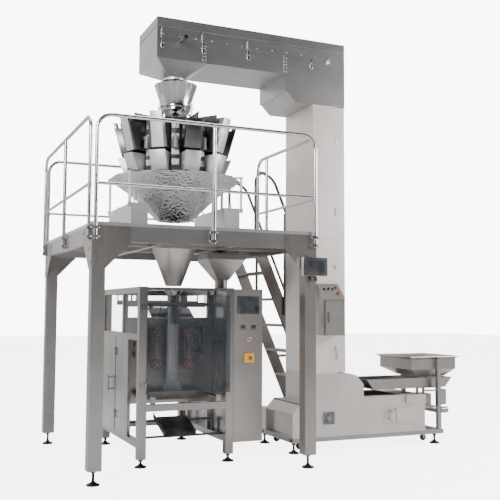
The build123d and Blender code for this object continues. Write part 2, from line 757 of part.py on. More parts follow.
def weigher_base():
    """Two long side boxes on the deck, joined by cross plates that carry the drum."""
    z0 = DECK_HEIGHT
    z1 = DECK_HEIGHT + BASE_HEIGHT
    half = BASE_WIDTH / 2
    y0 = AXIS_Y - BASE_FRONT
    y1 = y0 + BASE_LENGTH
    pieces = []
    for side in (-1, 1):
        x = AXIS_X + side * BASE_OFFSET
        box = hollow(x - half, x + half, y0, y1, z0, z1, SHEET, "z")
        lid = block(x - half + SHEET, x + half - SHEET, y0 + SHEET, y1 - SHEET, z1 - SHEET, z1)
        pieces.append(box + lid)
        eye_y = y0 + 45.0
        for eye in (eye_y, y1 - 45.0):
            pieces.append(rod((x, eye, z1), (x, eye, z1 + 20), 12))
            ring = Pos(x, eye, z1 + 38) * Rot(0, 90, 0) * Torus(18, 5)
            pieces[-1] = pieces[-1] + ring
    for side in (-1, 1):
        for end in (-1, 1):
            x = AXIS_X + side * (BASE_OFFSET + half + 16)
            y = AXIS_Y + end * SPIDER_Y
            pieces.append(block(x - 16, x + 16, y - 16, y + 16, z1 - 40, z1))
            pieces.append(rod((x, y, z1), (x, y, DECK_HEIGHT + SPIDER_LOW), 13))
            prop_x = AXIS_X + side * CHUTE_PROP
            prop_y = AXIS_Y + end * 60.0
            pieces.append(rod((prop_x, prop_y, z1), (prop_x, prop_y, chute_underside(CHUTE_PROP - 9)), 9))
    return group(pieces)


def chute_underside(across_flats):
    """Height of the collecting chute's underside over the middle of a flat."""
    radius = across_flats / cos(radians(HEAD_PITCH / 2))
    share = (radius - CHUTE_MID_R) / (CHUTE_TOP_R - CHUTE_MID_R)
    return DECK_HEIGHT + CHUTE_MID + share * (CHUTE_TOP - CHUTE_MID) - SEAT


def drum():
    """The weigher's body: a faceted drum with an actuator and a load cell for each head."""
    z0 = DECK_HEIGHT + DRUM_LOW
    z1 = DECK_HEIGHT + DRUM_TOP
    height = z1 - z0
    outer = Rot(0, 0, HEAD_PITCH / 2) * extrude(RegularPolygon(DRUM_R, HEADS), amount=height)
    inner = extrude(Rot(0, 0, HEAD_PITCH / 2) * RegularPolygon(DRUM_R - 8, HEADS), amount=height - 16)
    shell = Pos(AXIS_X, AXIS_Y, z0) * (outer - Pos(0, 0, 8) * inner)
    pieces = [shell]
    face = DRUM_R * cos(radians(HEAD_PITCH / 2))
    reach = BUCKET_IN_R - 4.0 - face
    for index in range(HEADS):
        low = block(face, face + reach - 16, -38, 38, z0 + 20, z0 + 150)
        high = block(face, face + reach - 16, -38, 38, z0 + 215, z0 + 385)
        pin_low = rod((face + reach - 16, 0, z0 + 95), (BUCKET_IN_R - SEAT, 0, z0 + 95), 12)
        pin_high = rod((face + reach - 16, 0, z0 + 300), (BUCKET_IN_R - SEAT, 0, z0 + 300), 12)
        pieces += [around(index, low + pin_low), around(index, high + pin_high)]
    pieces += drum_spider(z0)
    return group(pieces)


def drum_spider(z0):
    """The hub and four arms that carry the drum on the base's posts, between the buckets."""
    low = DECK_HEIGHT + SPIDER_LOW
    high = low + SPIDER
    spider = disc(SPIDER_HUB_R, low, high) + disc(SPIDER_HUB_R - 60, high, z0)
    x = BASE_OFFSET + BASE_WIDTH / 2 + 16
    reach = hypot(x, SPIDER_Y)
    lean = degrees(atan2(SPIDER_Y, x))
    for angle in (lean, 180 - lean, 180 + lean, -lean):
        spider = spider + Rot(0, 0, angle) * block(0, reach + 18, -18, 18, low, high)
    return [Pos(AXIS_X, AXIS_Y, 0) * spider]


def collecting_chute():
    """The dimpled ten-sided funnel under the buckets, on a ring that rests on the side boxes."""
    z = DECK_HEIGHT
    levels = [(CHUTE_TOP_R, z + CHUTE_TOP), (CHUTE_MID_R, z + CHUTE_MID), (CHUTE_LOW_R, z + CHUTE_LOW)]
    funnel = polygon_ring(levels, SHEET, turn=HEAD_PITCH / 2)
    return group(funnel)


def weigher_bucket(low, height, in_r, low_r, top_r, width, knee):
    """One bucket on +X: an open-topped sheet box whose outer wall leans out to the top."""
    outline = [(in_r, low), (low_r, low), (top_r, low + knee), (top_r, low + height),
               (in_r, low + height)]
    half = width / 2
    body = profile_y(outline, -half, half)
    t = SHEET
    hole = [(in_r + t, low - 1), (low_r - t, low - 1), (top_r - t, low + knee),
            (top_r - t, low + height + 1), (in_r + t, low + height + 1)]
    return body - profile_y(hole, -half + t, half - t)


def feed_hoppers():
    """Ten upper buckets that take product from the pans."""
    z = DECK_HEIGHT + FEED_LOW
    make = lambda: weigher_bucket(z, FEED_HEIGHT, BUCKET_IN_R, BUCKET_LOW_R + 30, BUCKET_TOP_R + 20,
                                  BUCKET_WIDTH, 150.0)
    gate = lambda: block(BUCKET_IN_R + SHEET, BUCKET_LOW_R + 30 - SHEET, -BUCKET_WIDTH / 2 + SHEET,
                         BUCKET_WIDTH / 2 - SHEET, z + 2, z + 5)
    return group([around(i, make()) for i in range(HEADS)], [around(i, gate()) for i in range(HEADS)])


def weigh_hoppers():
    """Ten lower buckets that hang on the load cells and hold the weighed portions."""
    z = DECK_HEIGHT + WEIGH_LOW
    make = lambda: weigher_bucket(z, WEIGH_HEIGHT, BUCKET_IN_R, BUCKET_LOW_R, BUCKET_TOP_R - 20,
                                  BUCKET_WIDTH - 12, 110.0)
    gate = lambda: block(BUCKET_IN_R + SHEET, BUCKET_LOW_R - SHEET, -BUCKET_WIDTH / 2 + 6 + SHEET,
                         BUCKET_WIDTH / 2 - 6 - SHEET, z + 2, z + 5)
    return group([around(i, make()) for i in range(HEADS)], [around(i, gate()) for i in range(HEADS)])


def feeder_pans():
    """Ten vibrating pans that carry product from the centre cone out to the buckets."""
    z0 = DECK_HEIGHT + PAN_LOW
    half = PAN_WIDTH / 2
    t = SHEET
    pans = []
    for index in range(HEADS):
        outline = [(PAN_START_R, z0), (PAN_END_R, z0), (PAN_END_R + 25, z0 + PAN_HEIGHT),
                   (PAN_START_R, z0 + PAN_HEIGHT)]
        narrow = PAN_START_R * sin(radians(HEAD_PITCH / 2)) - 4
        body = profile_y(outline, -half, half)
        hole = block(PAN_START_R - 30, PAN_END_R + 60, -half + t, half - t, z0 + t, z0 + PAN_HEIGHT + 1)
        wedge = profile_z([(PAN_START_R - 1, narrow), (PAN_START_R + 60, half + 1),
                           (PAN_START_R - 1, half + 1)], z0 - 1, z0 + PAN_HEIGHT + 1)
        other = profile_z([(PAN_START_R - 1, -narrow), (PAN_START_R + 60, -half - 1),
                           (PAN_START_R - 1, -half - 1)], z0 - 1, z0 + PAN_HEIGHT + 1)
        mount = block(PAN_START_R + 60, PAN_START_R + 140, -20, 20, DECK_HEIGHT + DRUM_TOP, z0)
        pans.append(around(index, body - hole - wedge - other + mount))
    return group(pans)


def profile_z(points, z0, z1):
    """A prism with an outline in X and Y, from z0 to z1."""
    face = make_face(Polyline([(x, y, z0) for x, y in points], close=True))
    return extrude(face, amount=z1 - z0, dir=(0, 0, 1))


def top_cone():
    """The vibrating centre cone that spreads the product over the pans."""
    z0 = DECK_HEIGHT + CONE_LOW
    cone = Pos(0, 0, z0 + CONE_HEIGHT / 2) * Cone(CONE_R, 12, CONE_HEIGHT)
    rim = disc(CONE_R, z0 - 4, z0)
    stem = disc(45, DECK_HEIGHT + DRUM_TOP + GAP, z0 - 4)
    return Pos(AXIS_X, AXIS_Y, 0) * (cone + rim + stem)


def infeed_funnel():
    """The fluted infeed funnel over the cone, on a flange carried by four struts."""
    z0 = DECK_HEIGHT + INFEED_LOW
    z1 = DECK_HEIGHT + INFEED_TOP
    funnel = cone_shell(INFEED_LOW_R, z0, INFEED_TOP_R, z1, SHEET)
    flange = disc(INFEED_LOW_R + 34, z0, z0 + 8, INFEED_LOW_R - SHEET)
    collar = disc(INFEED_LOW_R + 2, z0 - 30, z0, INFEED_LOW_R - SHEET)
    pieces = [funnel + flange + collar]
    for head in STRUT_HEADS:
        turn = Rot(0, 0, ring_place(head + 0.5))
        pieces.append(turn * block(INFEED_LOW_R + 20, STRUT_CIRCLE + 14, -14, 14, z0 - 8, z0))
        low = (STRUT_CIRCLE, 0, DECK_HEIGHT + DRUM_TOP)
        high = (STRUT_CIRCLE, 0, z0 - 8)
        pieces.append(turn * rod(low, high, STRUT_R))
    return Pos(AXIS_X, AXIS_Y, 0) * group(pieces)


# ================================================================ chutes
def discharge_cone():
    """The long cone from the weigher down to the forming tube, with its rim on the deck."""
    top = DECK_HEIGHT + CONE_MOUTH
    cone = cone_shell(CONE_END_R, CONE_END, CONE_MOUTH_R, top, SHEET)
    rim = disc(CONE_MOUTH_R + 30, DECK_HEIGHT, DECK_HEIGHT + 5, CONE_MOUTH_R - 16)
    return Pos(AXIS_X, AXIS_Y, 0) * (cone + rim)


def sweepings_chute():
    """The chute under the deck that takes swept up product down a round pipe."""
    x = AXIS_X + SWEEPINGS_X
    y = AXIS_Y + SWEEPINGS_Y
    t = SHEET
    outer = loft([Pos(x, y, SWEEPINGS_NECK) * Rectangle(2 * SWEEPINGS_R, 2 * SWEEPINGS_R),
                  Pos(x, y, SWEEPINGS_TOP) * Rectangle(SWEEPINGS_TOP_W, SWEEPINGS_TOP_D)], ruled=True)
    inner = loft([Pos(x, y, SWEEPINGS_NECK) * Rectangle(2 * SWEEPINGS_R - 2 * t, 2 * SWEEPINGS_R - 2 * t),
                  Pos(x, y, SWEEPINGS_TOP) * Rectangle(SWEEPINGS_TOP_W - 2 * t, SWEEPINGS_TOP_D - 2 * t)],
                 ruled=True)
    pipe = rod((x, y, SWEEPINGS_END), (x, y, SWEEPINGS_NECK), SWEEPINGS_R, SWEEPINGS_R - t)
    half_w = SWEEPINGS_TOP_W / 2
    half_d = SWEEPINGS_TOP_D / 2
    sleeve = hollow(x - half_w, x + half_w, y - half_d, y + half_d, SWEEPINGS_TOP,
                    FRAME_UNDER + 20, t, "z")
    hole_x = x + SWEEPINGS_MOUTH_SHIFT
    top = DECK_HEIGHT + 6
    mouth = rod((hole_x, y, FRAME_UNDER), (hole_x, y, top), SWEEPINGS_MOUTH_R, SWEEPINGS_MOUTH_R - t)
    rim = rod((hole_x, y, DECK_HEIGHT), (hole_x, y, top), SWEEPINGS_MOUTH_R + 12, SWEEPINGS_MOUTH_R - t)
    return group((outer - inner) + pipe + sleeve, mouth + rim)


# ================================================================ bag former
def bagger_frame():
    """Welded frame: four posts, rails between them, inner uprights and the mounting plate."""
    x0, x1 = FORMER_LEFT, FORMER_RIGHT
    y0, y1 = FORMER_FRONT, FORMER_BACK
    p, r, w = POST, FRAME_RAIL, POST_WALL
    top = FORMER_TOP
    pieces = []
    for x in (x0, x1 - p):
        for y in (y0, y1 - p):
            post = hollow(x, x + p, y, y + p, FORMER_LOW, top, w)
            base = block(x + w, x + p - w, y + w, y + p - w, FORMER_LOW, FORMER_LOW + 8)
            cap = block(x + w, x + p - w, y + w, y + p - w, top - w, top)
            hole = Pos(x + p / 2, y + p / 2, FORMER_LOW) * Cylinder(FOOT_STEM_R, 40)
            pieces.append(post + base + cap - hole)
    for z in (LOW_RAIL, MID_RAIL, top - r):
        pieces.append(hollow(x0, x0 + r, y0 + p, y1 - p, z, z + r, w, "y"))
        pieces.append(hollow(x1 - r, x1, y0 + p, y1 - p, z, z + r, w, "y"))
    for z in (LOW_RAIL, top - r):
        pieces.append(hollow(x0 + p, x1 - p, y1 - p, y1 - p + r, z, z + r, w, "x"))
    front_top = top - 34
    pieces.append(block(x0 + p, x1 - p, y0 + 20, y0 + 32, front_top, top - 4))
    pieces.append(hollow(x0 + p, x1 - p, y0, y0 + 45, CROSS_LOW, CROSS_LOW + CROSS_HEIGHT, w, "x"))
    u = UPRIGHT
    uy = PLATE_Y + BACKPLATE
    for z0, z1 in ((LOW_RAIL + r, MID_RAIL), (MID_RAIL + r, top - r)):
        pieces.append(hollow(x0, x0 + u, uy, uy + u, z0, z1, w))
        pieces.append(hollow(x1 - u, x1, uy, uy + u, z0, z1, w))
    plate = block(x0 + PANEL + 6, x1 - PANEL - 6, PLATE_Y, uy, BACKPLATE_LOW, BACKPLATE_TOP)
    plate = plate - block(x0, x0 + r + 1, PLATE_Y - 1, uy + 1, MID_RAIL - 1, MID_RAIL + r + 1)
    plate = plate - block(x1 - r - 1, x1, PLATE_Y - 1, uy + 1, MID_RAIL - 1, MID_RAIL + r + 1)
    for side in (-1, 1):
        centre = Pos(AXIS_X + side * JAW_ROD_X, PLATE_Y, JAW_LOW + JAW_HEIGHT / 2)
        plate = plate - centre * Rot(90, 0, 0) * Cylinder(JAW_ROD_R, 60)
    pieces.append(plate)
    pieces += tube_bridge() + slide_rods() + jaw_rods()
    return group(pieces)


def tube_bridge():
    """Two bars across the frame that carry the forming tube's collar plate."""
    z = COLLAR_TOP + 12
    bars = []
    for dy in (-95.0, 95.0):
        y = AXIS_Y + dy
        bars.append(block(FORMER_LEFT + FRAME_RAIL, FORMER_RIGHT - FRAME_RAIL, y - 12, y + 12, z, z + 24))
        for x in (FORMER_LEFT + FRAME_RAIL + 10, FORMER_RIGHT - FRAME_RAIL - 10):
            bars.append(rod((x, y, z + 24), (x, y, FORMER_TOP - 40), 9))
            side = -1 if x < AXIS_X else 1
            bars.append(block(x - 10, x + 10, y - 10, y + 10, FORMER_TOP - 40, FORMER_TOP - 20)
                        + block(x, x + side * 12, y - 10, y + 10, FORMER_TOP - 40, FORMER_TOP - 20))
    return bars


def slide_rods():
    """Cross rods that the pull belt heads slide on, held by lugs on the mounting plate."""
    y = AXIS_Y + GUIDE_OFFSET
    x0 = FORMER_LEFT + 120
    x1 = FORMER_RIGHT - 120
    pieces = []
    for z in (GUIDE_HIGH, GUIDE_LOW):
        pieces.append(rod((x0, y, z), (x1, y, z), SHAFT_R))
        for x in (x0, x1):
            lug = block(x - 14, x + 14, y - 20, PLATE_Y, z - 20, z + 20)
            pieces.append(lug - rod((x0 - 20, y, z), (x1 + 20, y, z), SHAFT_R))
    return pieces


def jaw_rods():
    """Two rods that guide the cross jaws, from the front bar through the mounting plate."""
    z = JAW_LOW + JAW_HEIGHT / 2
    pieces = []
    y0 = FORMER_FRONT + 22
    y1 = PLATE_Y + BACKPLATE + 60
    for side in (-1, 1):
        x = AXIS_X + side * JAW_ROD_X
        pieces.append(rod((x, y0, z), (x, y1, z), JAW_ROD_R))
        block_low = CROSS_LOW + CROSS_HEIGHT
        saddle = block(x - 24, x + 24, y0, y0 + 22, block_low, z + 24)
        pieces.append(saddle - rod((x, y0 - 5, z), (x, y0 + 60, z), JAW_ROD_R))
    return pieces


def bagger_panels():
    """Sheet panels: the fixed left sheet, the right sheet and the low back sheet."""
    x0, x1 = FORMER_LEFT, FORMER_RIGHT
    y0, y1 = FORMER_FRONT + POST, FORMER_BACK - POST
    low = LOW_RAIL + FRAME_RAIL
    t = PANEL
    left = block(x0, x0 + t, SIDE_MIDDLE, PLATE_Y + BACKPLATE, low, MID_RAIL)
    left_back = block(x0, x0 + t, PLATE_Y + BACKPLATE + UPRIGHT, SIDE_SPLIT - 12, low, MID_RAIL)
    strip = hollow(x0, x0 + 30, SIDE_SPLIT - 12, SIDE_SPLIT + 8, low, MID_RAIL, 2.0)
    edge = hollow(x0, x0 + 30, SIDE_MIDDLE - 20, SIDE_MIDDLE, low, MID_RAIL, 2.0)
    right_low = block(x1 - t, x1, y0, PLATE_Y + BACKPLATE, low, MID_RAIL)
    right_back = block(x1 - t, x1, PLATE_Y + BACKPLATE + UPRIGHT, y1, low, MID_RAIL)
    right_top = block(x1 - t, x1, y0, PLATE_Y + BACKPLATE, MID_RAIL + FRAME_RAIL, FORMER_TOP - FRAME_RAIL)
    return group(left, left_back, strip, edge, right_low, right_back, right_top)


def side_window():
    """Clear panes along the top of the left side, held between the rails."""
    x = FORMER_LEFT + 8
    z0 = MID_RAIL + FRAME_RAIL
    z1 = FORMER_TOP - FRAME_RAIL
    uy = PLATE_Y + BACKPLATE
    front = block(x, x + 5, FORMER_FRONT + POST, PLATE_Y - 1, z0, z1)
    back = block(x, x + 5, uy + UPRIGHT, FORMER_BACK - POST, z0, z1)
    return group(front, back)


def side_door():
    """Hinged sheet door at the rear of the left side, with its bar handle."""
    x = FORMER_LEFT
    y0 = SIDE_SPLIT + 10
    y1 = FORMER_BACK - POST - 3
    z0 = LOW_RAIL + FRAME_RAIL + 3
    z1 = MID_RAIL - 3
    t = 22.0
    skin = block(x - 4, x - 1, y0 - 8, y1 + 12, z0 - 10, z1 + 10)
    fold = hollow(x - 1, x + t - 1, y0 + 3, y1, z0, z1, 2.0, "x")
    pieces = skin + fold
    handle_y = y0 + 135
    bar = rod((x - 38, handle_y, 620), (x - 38, handle_y, 780), 8)
    legs = [rod((x - 38, handle_y, z), (x - 4, handle_y, z), 7) for z in (640, 760)]
    handle = bar + legs[0] + legs[1]
    pin_x, pin_y = side_door_pin()
    for z in SIDE_HINGES:
        handle = handle + block(pin_x, x - 3.5, pin_y, y0 + 20, z + 28.5, z + 50)
        handle = handle + rod((pin_x, pin_y, z + 28.5), (pin_x, pin_y, z + 50), 7)
    return group(pieces + handle)


def side_door_pin():
    """X and Y of the side door's hinge line."""
    return (FORMER_LEFT - 12.0, SIDE_SPLIT - 12.0)


def side_hinges():
    """Two black hinges of the side door: the leaves fixed to the side sheet."""
    x = FORMER_LEFT
    pieces = []
    pin_x, pin_y = side_door_pin()
    for z in SIDE_HINGES:
        leaf = block(x - 4, x, pin_y - 30, pin_y, z - 28, z + 28)
        knuckle = rod((pin_x, pin_y, z - 28), (pin_x, pin_y, z + 28), 7)
        knuckle = knuckle + block(pin_x, x - 3.5, pin_y - 7, pin_y - 0.5, z - 28, z + 28)
        pieces.append(leaf + knuckle)
    return group(pieces)


def front_door():
    """Clear front door with edge profiles, hinge leaves and two star knobs."""
    x0 = FORMER_LEFT + 68
    x1 = FORMER_RIGHT - 40
    y1 = FORMER_FRONT - 8
    y0 = y1 - 6
    z0, z1 = 665.0, 1600.0
    pane = block(x0 + 3, x1, y0, y1, z0, z1)
    pieces = [pane]
    for z in (755.0, 1483.0):
        pieces.append(block(x0 + 14, x0 + 60, y0 - 8, y0, z - 22, z + 22))
    for z in (734.0, 1469.0):
        knob = rod((x1 - 28, y0 - 26, z), (x1 - 28, y0 - 8, z), 21)
        stem = rod((x1 - 28, y0 - 8, z), (x1 - 28, y0, z), 8)
        pieces.append(knob + stem)
    return group(pieces)


def door_hinges():
    """Fixed leaves and pins of the front door's hinges on the left post."""
    x0 = FORMER_LEFT + 68
    y = FORMER_FRONT
    pieces = []
    for z in (755.0, 1483.0):
        pieces.append(block(x0 - 50, x0 - 11, y - 12, y, z - 22, z + 22)
                      + rod((x0, y - 22, z - 22), (x0, y - 22, z + 22), 6)
                      + block(x0 - 18, x0 - 2, y - 20, y - 8, z - 22, z + 22))
    return group(pieces)


def forming_tube():
    """The steel forming tube with its flared mouth under the cone."""
    z1 = TUBE_TOP
    pipe = disc(TUBE_R, TUBE_END, z1, TUBE_R - TUBE_WALL)
    mouth = cone_shell(TUBE_R, z1, TUBE_MOUTH_R, z1 + TUBE_MOUTH, TUBE_WALL)
    plate = disc(TUBE_R + 55, COLLAR_TOP, COLLAR_TOP + 12, TUBE_R)
    wings = block(-TUBE_R - 50, TUBE_R + 50, -108, 108, COLLAR_TOP, COLLAR_TOP + 12)
    wings = wings - Pos(0, 0, COLLAR_TOP) * Cylinder(TUBE_R, 60)
    return Pos(AXIS_X, AXIS_Y, 0) * (pipe + mouth + plate + wings)


def forming_collar():
    """The forming shoulder: a sloping sheet that folds the film round the tube."""
    ring = disc(TUBE_R + 9, COLLAR_LOW - 60, COLLAR_LOW + 30, TUBE_R + 6)
    r = COLLAR_REACH
    low = COLLAR_LOW + 30
    high = COLLAR_TOP - 12
    outer = [(-95.0, low - 40), (0.0, low - 24), (r - 60, high), (r - 60, high + 3), (0.0, low - 21),
             (-95.0, low - 37)]
    sheet = profile_x(outer, -r, r)
    sheet = sheet - Pos(0, 0, low) * Cylinder(TUBE_R + 6, 300)
    fold = ring + sheet
    fold = Pos(AXIS_X, AXIS_Y, 0) * fold
    for side in (-1, 1):
        x = AXIS_X + side * (TUBE_R + 40)
        y = AXIS_Y + 95.0
        fold = fold + rod((x, y, high - 42), (x, y, COLLAR_TOP), 6)
    return group(fold)


def film_web():
    """Film: from the roll over the idlers to the collar, the sleeve on the tube, and the flat end."""
    half = FILM_WIDTH / 2
    t = FILM
    up_y = ROLL_Y - ROLL_R
    collar_edge = (AXIS_Y + COLLAR_REACH - 62, COLLAR_TOP - 8)
    path = [(up_y - 1.2, ROLL_Z), (1505.0, 1560.0), (1215.0, 1540.0), collar_edge]
    pieces = []
    for a, b in zip(path, path[1:]):
        strip = [(a[0], a[1]), (b[0], b[1]), (b[0] - t, b[1] + t / 2), (a[0] - t, a[1] + t / 2)]
        pieces.append(profile_x(strip, AXIS_X - half, AXIS_X + half))
    sleeve_r = TUBE_R + FILM_GAP
    sleeve = Pos(AXIS_X, AXIS_Y, 0) * disc(sleeve_r + t, TUBE_END - 15, COLLAR_LOW - 62, sleeve_r)
    low_z = JAW_LOW + JAW_HEIGHT + 10
    outer = loft([Pos(0, 0, low_z) * Ellipse(96, 4), Pos(0, 0, TUBE_END - 15) * Circle(sleeve_r + t)])
    return group(pieces, sleeve, Pos(AXIS_X, AXIS_Y, 0) * outer)


def film_roll():
    """The reel of film on its core, with the clamping cones of the unwind shaft."""
    half = ROLL_WIDTH / 2
    reel = rod((AXIS_X - half, ROLL_Y, ROLL_Z), (AXIS_X + half, ROLL_Y, ROLL_Z), ROLL_R, ROLL_CORE_R)
    core = rod((AXIS_X - half - 8, ROLL_Y, ROLL_Z), (AXIS_X + half + 8, ROLL_Y, ROLL_Z), ROLL_CORE_R,
               SHAFT_R + RUN_CLEARANCE)
    return group(reel, core)


def unwind_stand():
    """Fixed unwind shaft, its two arms, and the idler bars over the reel."""
    pieces = []
    x0 = FORMER_LEFT + FRAME_RAIL
    x1 = FORMER_RIGHT - FRAME_RAIL
    pieces.append(rod((x0, ROLL_Y, ROLL_Z), (x1, ROLL_Y, ROLL_Z), SHAFT_R))
    for x, side in ((x0, 1), (x1, -1)):
        arm = block(x, x + side * 12, ROLL_Y - 30, ROLL_Y + 30, LOW_RAIL, ROLL_Z + 30)
        foot_piece = block(x - side * 8, x, ROLL_Y - 30, ROLL_Y + 30, LOW_RAIL + 4, LOW_RAIL + 44)
        arm = arm - rod((x0 - 20, ROLL_Y, ROLL_Z), (x1 + 20, ROLL_Y, ROLL_Z), SHAFT_R)
        pieces.append(arm + foot_piece)
    for y, z in ((1505.0 - IDLER_R - 3, 1530.0), (1215.0 + IDLER_R, 1512.0)):
        pieces.append(rod((x0 - 30, y, z), (x1 + 30, y, z), IDLER_R))
        for x in (x0 - 26, x1 + 26):
            pieces[-1] = pieces[-1] + block(x - 4, x + 4, y - 12, y + 12, z, FORMER_TOP - FRAME_RAIL)
    return group(pieces)


def outlet_chute():
    """The black chute that slides finished bags out to the front."""
    t = 4.0
    base = [(AXIS_Y + 60, 392.0), (FORMER_FRONT + 120, 250.0), (FORMER_FRONT + 120, 250.0 - t),
            (AXIS_Y + 60, 392.0 - t)]
    floor_sheet = profile_x(base, AXIS_X - 180, AXIS_X + 140)
    side_pts = [(AXIS_Y + 60, 392.0), (AXIS_Y + 60, 440.0), (FORMER_FRONT + 120, 298.0),
                (FORMER_FRONT + 120, 250.0)]
    left = profile_x(side_pts, AXIS_X - 180, AXIS_X - 180 + t)
    right = profile_x(side_pts, AXIS_X + 140 - t, AXIS_X + 140)
    chute = floor_sheet + left + right
    fall = (base[3][1] - base[2][1]) / (base[3][0] - base[2][0])
    bars = []
    for y in (AXIS_Y + 5.0, FORMER_FRONT + POST + 75.0):
        top = base[2][1] + (y - base[2][0]) * fall - SEAT
        x0 = FORMER_LEFT + 30
        x1 = FORMER_RIGHT - 30
        bar = block(x0, x1, y, y + 30, top - CHUTE_BAR, top)
        low = LOW_RAIL + FRAME_RAIL
        for x in (x0, x1 - 20):
            bar = bar + block(x, x + 20, y, y + 30, low, top)
        bars.append(bar)
    return group(chute, bars)


# ================================================================ pull belts and sealers
def belt_place(side):
    """X of a pull belt head's pulleys: -1 left of the tube, 1 right of it."""
    return AXIS_X + side * (TUBE_R + FILM_GAP + FILM + BELT_TRAVEL + BELT + GAP + PULLEY_R)


def pull_pulley(side, z):
    """One toothed pulley of a pull belt head, running on its shaft."""
    x = belt_place(side)
    half = PULLEY_WIDTH / 2
    wheel = rod((x, AXIS_Y - half, z), (x, AXIS_Y + half, z), PULLEY_R, SHAFT_R + RUN_CLEARANCE)
    web = rod((x, AXIS_Y - half - 1, z), (x, AXIS_Y - half + 9, z), PULLEY_R - 14, SHAFT_R + 12)
    return wheel - web


def belt_head(side):
    """A pull belt head: the belt, the head plate with pulley shafts, and its slide carriage."""
    x = belt_place(side)
    half = PULLEY_WIDTH / 2
    outer = PULLEY_R + GAP + BELT
    inner = PULLEY_R + GAP
    span = BELT_UPPER - BELT_LOWER
    middle = (BELT_UPPER + BELT_LOWER) / 2
    plane = Plane(origin=(x, AXIS_Y + half, middle), x_dir=(0, 0, 1), z_dir=(0, -1, 0))
    loop = SlotCenterToCenter(span, 2 * outer) - SlotCenterToCenter(span, 2 * inner)
    belt = extrude(plane * loop, amount=PULLEY_WIDTH)
    plate_y = AXIS_Y + half + 6
    plate = block(x - 44, x + 44, plate_y, plate_y + HEAD_PLATE, BELT_LOWER - 40, BELT_UPPER + 40)
    shafts = plate
    for z in (BELT_LOWER, BELT_UPPER):
        shafts = shafts + rod((x, AXIS_Y - half - 10, z), (x, plate_y, z), SHAFT_R)
        shafts = shafts + rod((x, AXIS_Y - half - 12, z), (x, AXIS_Y - half - 4, z), SHAFT_R + 7)
    backing = block(x - 20, x + 20, AXIS_Y - half + 4, plate_y, BELT_LOWER + 68, BELT_UPPER - 68)
    y = AXIS_Y + GUIDE_OFFSET
    carriage = block(x - CARRIAGE / 2, x + CARRIAGE / 2, plate_y + HEAD_PLATE, y + 24,
                     GUIDE_LOW - 30, GUIDE_HIGH + 30)
    for z in (GUIDE_HIGH, GUIDE_LOW):
        carriage = carriage - rod((x - 100, y, z), (x + 100, y, z), SHAFT_R + RUN_CLEARANCE)
    return group(belt, shafts + backing + carriage)


def vertical_sealer():
    """The back seal bar on a swinging arm, parked open beside the tube."""
    pivot = Vector(AXIS_X + SWING_X, AXIS_Y + SWING_Y, 0)
    angle = radians(180 + SWING_REST)
    bar_x = pivot.X + SWING_ARM * cos(angle)
    bar_y = pivot.Y + SWING_ARM * sin(angle)
    turn = Rot(0, 0, SWING_REST)
    z0, z1 = SWING_LOW, SWING_LOW + SWING_HEIGHT
    bar = Box(16, 30, SWING_HEIGHT)
    bar = Pos(bar_x, bar_y, (z0 + z1) / 2) * turn * bar
    sleeve_r = PIVOT_R + 10
    pieces = bar
    for z in (z0 + 50, z1 - 50):
        arm = Pos(-SWING_ARM / 2, 0, 0) * Box(SWING_ARM, 22, 24)
        pieces = pieces + Pos(pivot.X, pivot.Y, z) * turn * arm
    pieces = pieces + rod((pivot.X, pivot.Y, z0 + 20), (pivot.X, pivot.Y, z1 - 20), sleeve_r)
    bore = rod((pivot.X, pivot.Y, z0), (pivot.X, pivot.Y, z1), PIVOT_R + RUN_CLEARANCE)
    return group(pieces - bore)


def sealer_post():
    """The fixed pivot post of the back sealer, on two brackets from the mounting plate."""
    x = AXIS_X + SWING_X
    y = AXIS_Y + SWING_Y
    z0, z1 = SWING_LOW - 20, SWING_LOW + SWING_HEIGHT + 20
    post = rod((x, y, z0), (x, y, z1), PIVOT_R)
    pieces = [post]
    for low, high in ((z0 - 16, z0), (z1, z1 + 16)):
        arm = block(x - 16, x + 16, y - 16, PLATE_Y, low, high)
        pieces.append(arm)
    return group(pieces)


def cross_jaw(side):
    """A cross seal jaw: -1 in front of the film, 1 behind it, with its guide bushes."""
    face = AXIS_Y + side * JAW_OPEN
    back = face + side * JAW_DEPTH
    z0, z1 = JAW_LOW, JAW_LOW + JAW_HEIGHT
    half = JAW_LENGTH / 2
    bar = block(AXIS_X - half, AXIS_X + half, min(face, back), max(face, back), z0, z1)
    z = JAW_LOW + JAW_HEIGHT / 2
    whole = bar
    for s in (-1, 1):
        x = AXIS_X + s * JAW_ROD_X
        whole = whole + rod((x, min(face, back), z), (x, max(face, back), z), JAW_BUSH)
        whole = whole + block(min(x, AXIS_X + s * half), max(x, AXIS_X + s * half),
                              min(face, back) + 8, max(face, back) - 8, z - 20, z + 20)
    for s in (-1, 1):
        x = AXIS_X + s * JAW_ROD_X
        whole = whole - rod((x, min(face, back) - 5, z), (x, max(face, back) + 5, z),
                            JAW_ROD_R + RUN_CLEARANCE)
    if side < 0:
        for index in range(4):
            x = AXIS_X - 210 + index * 140
            whole = whole + hex_bolt(x, back, z + 8, (0, -1, 0), 8, 6)
    return whole


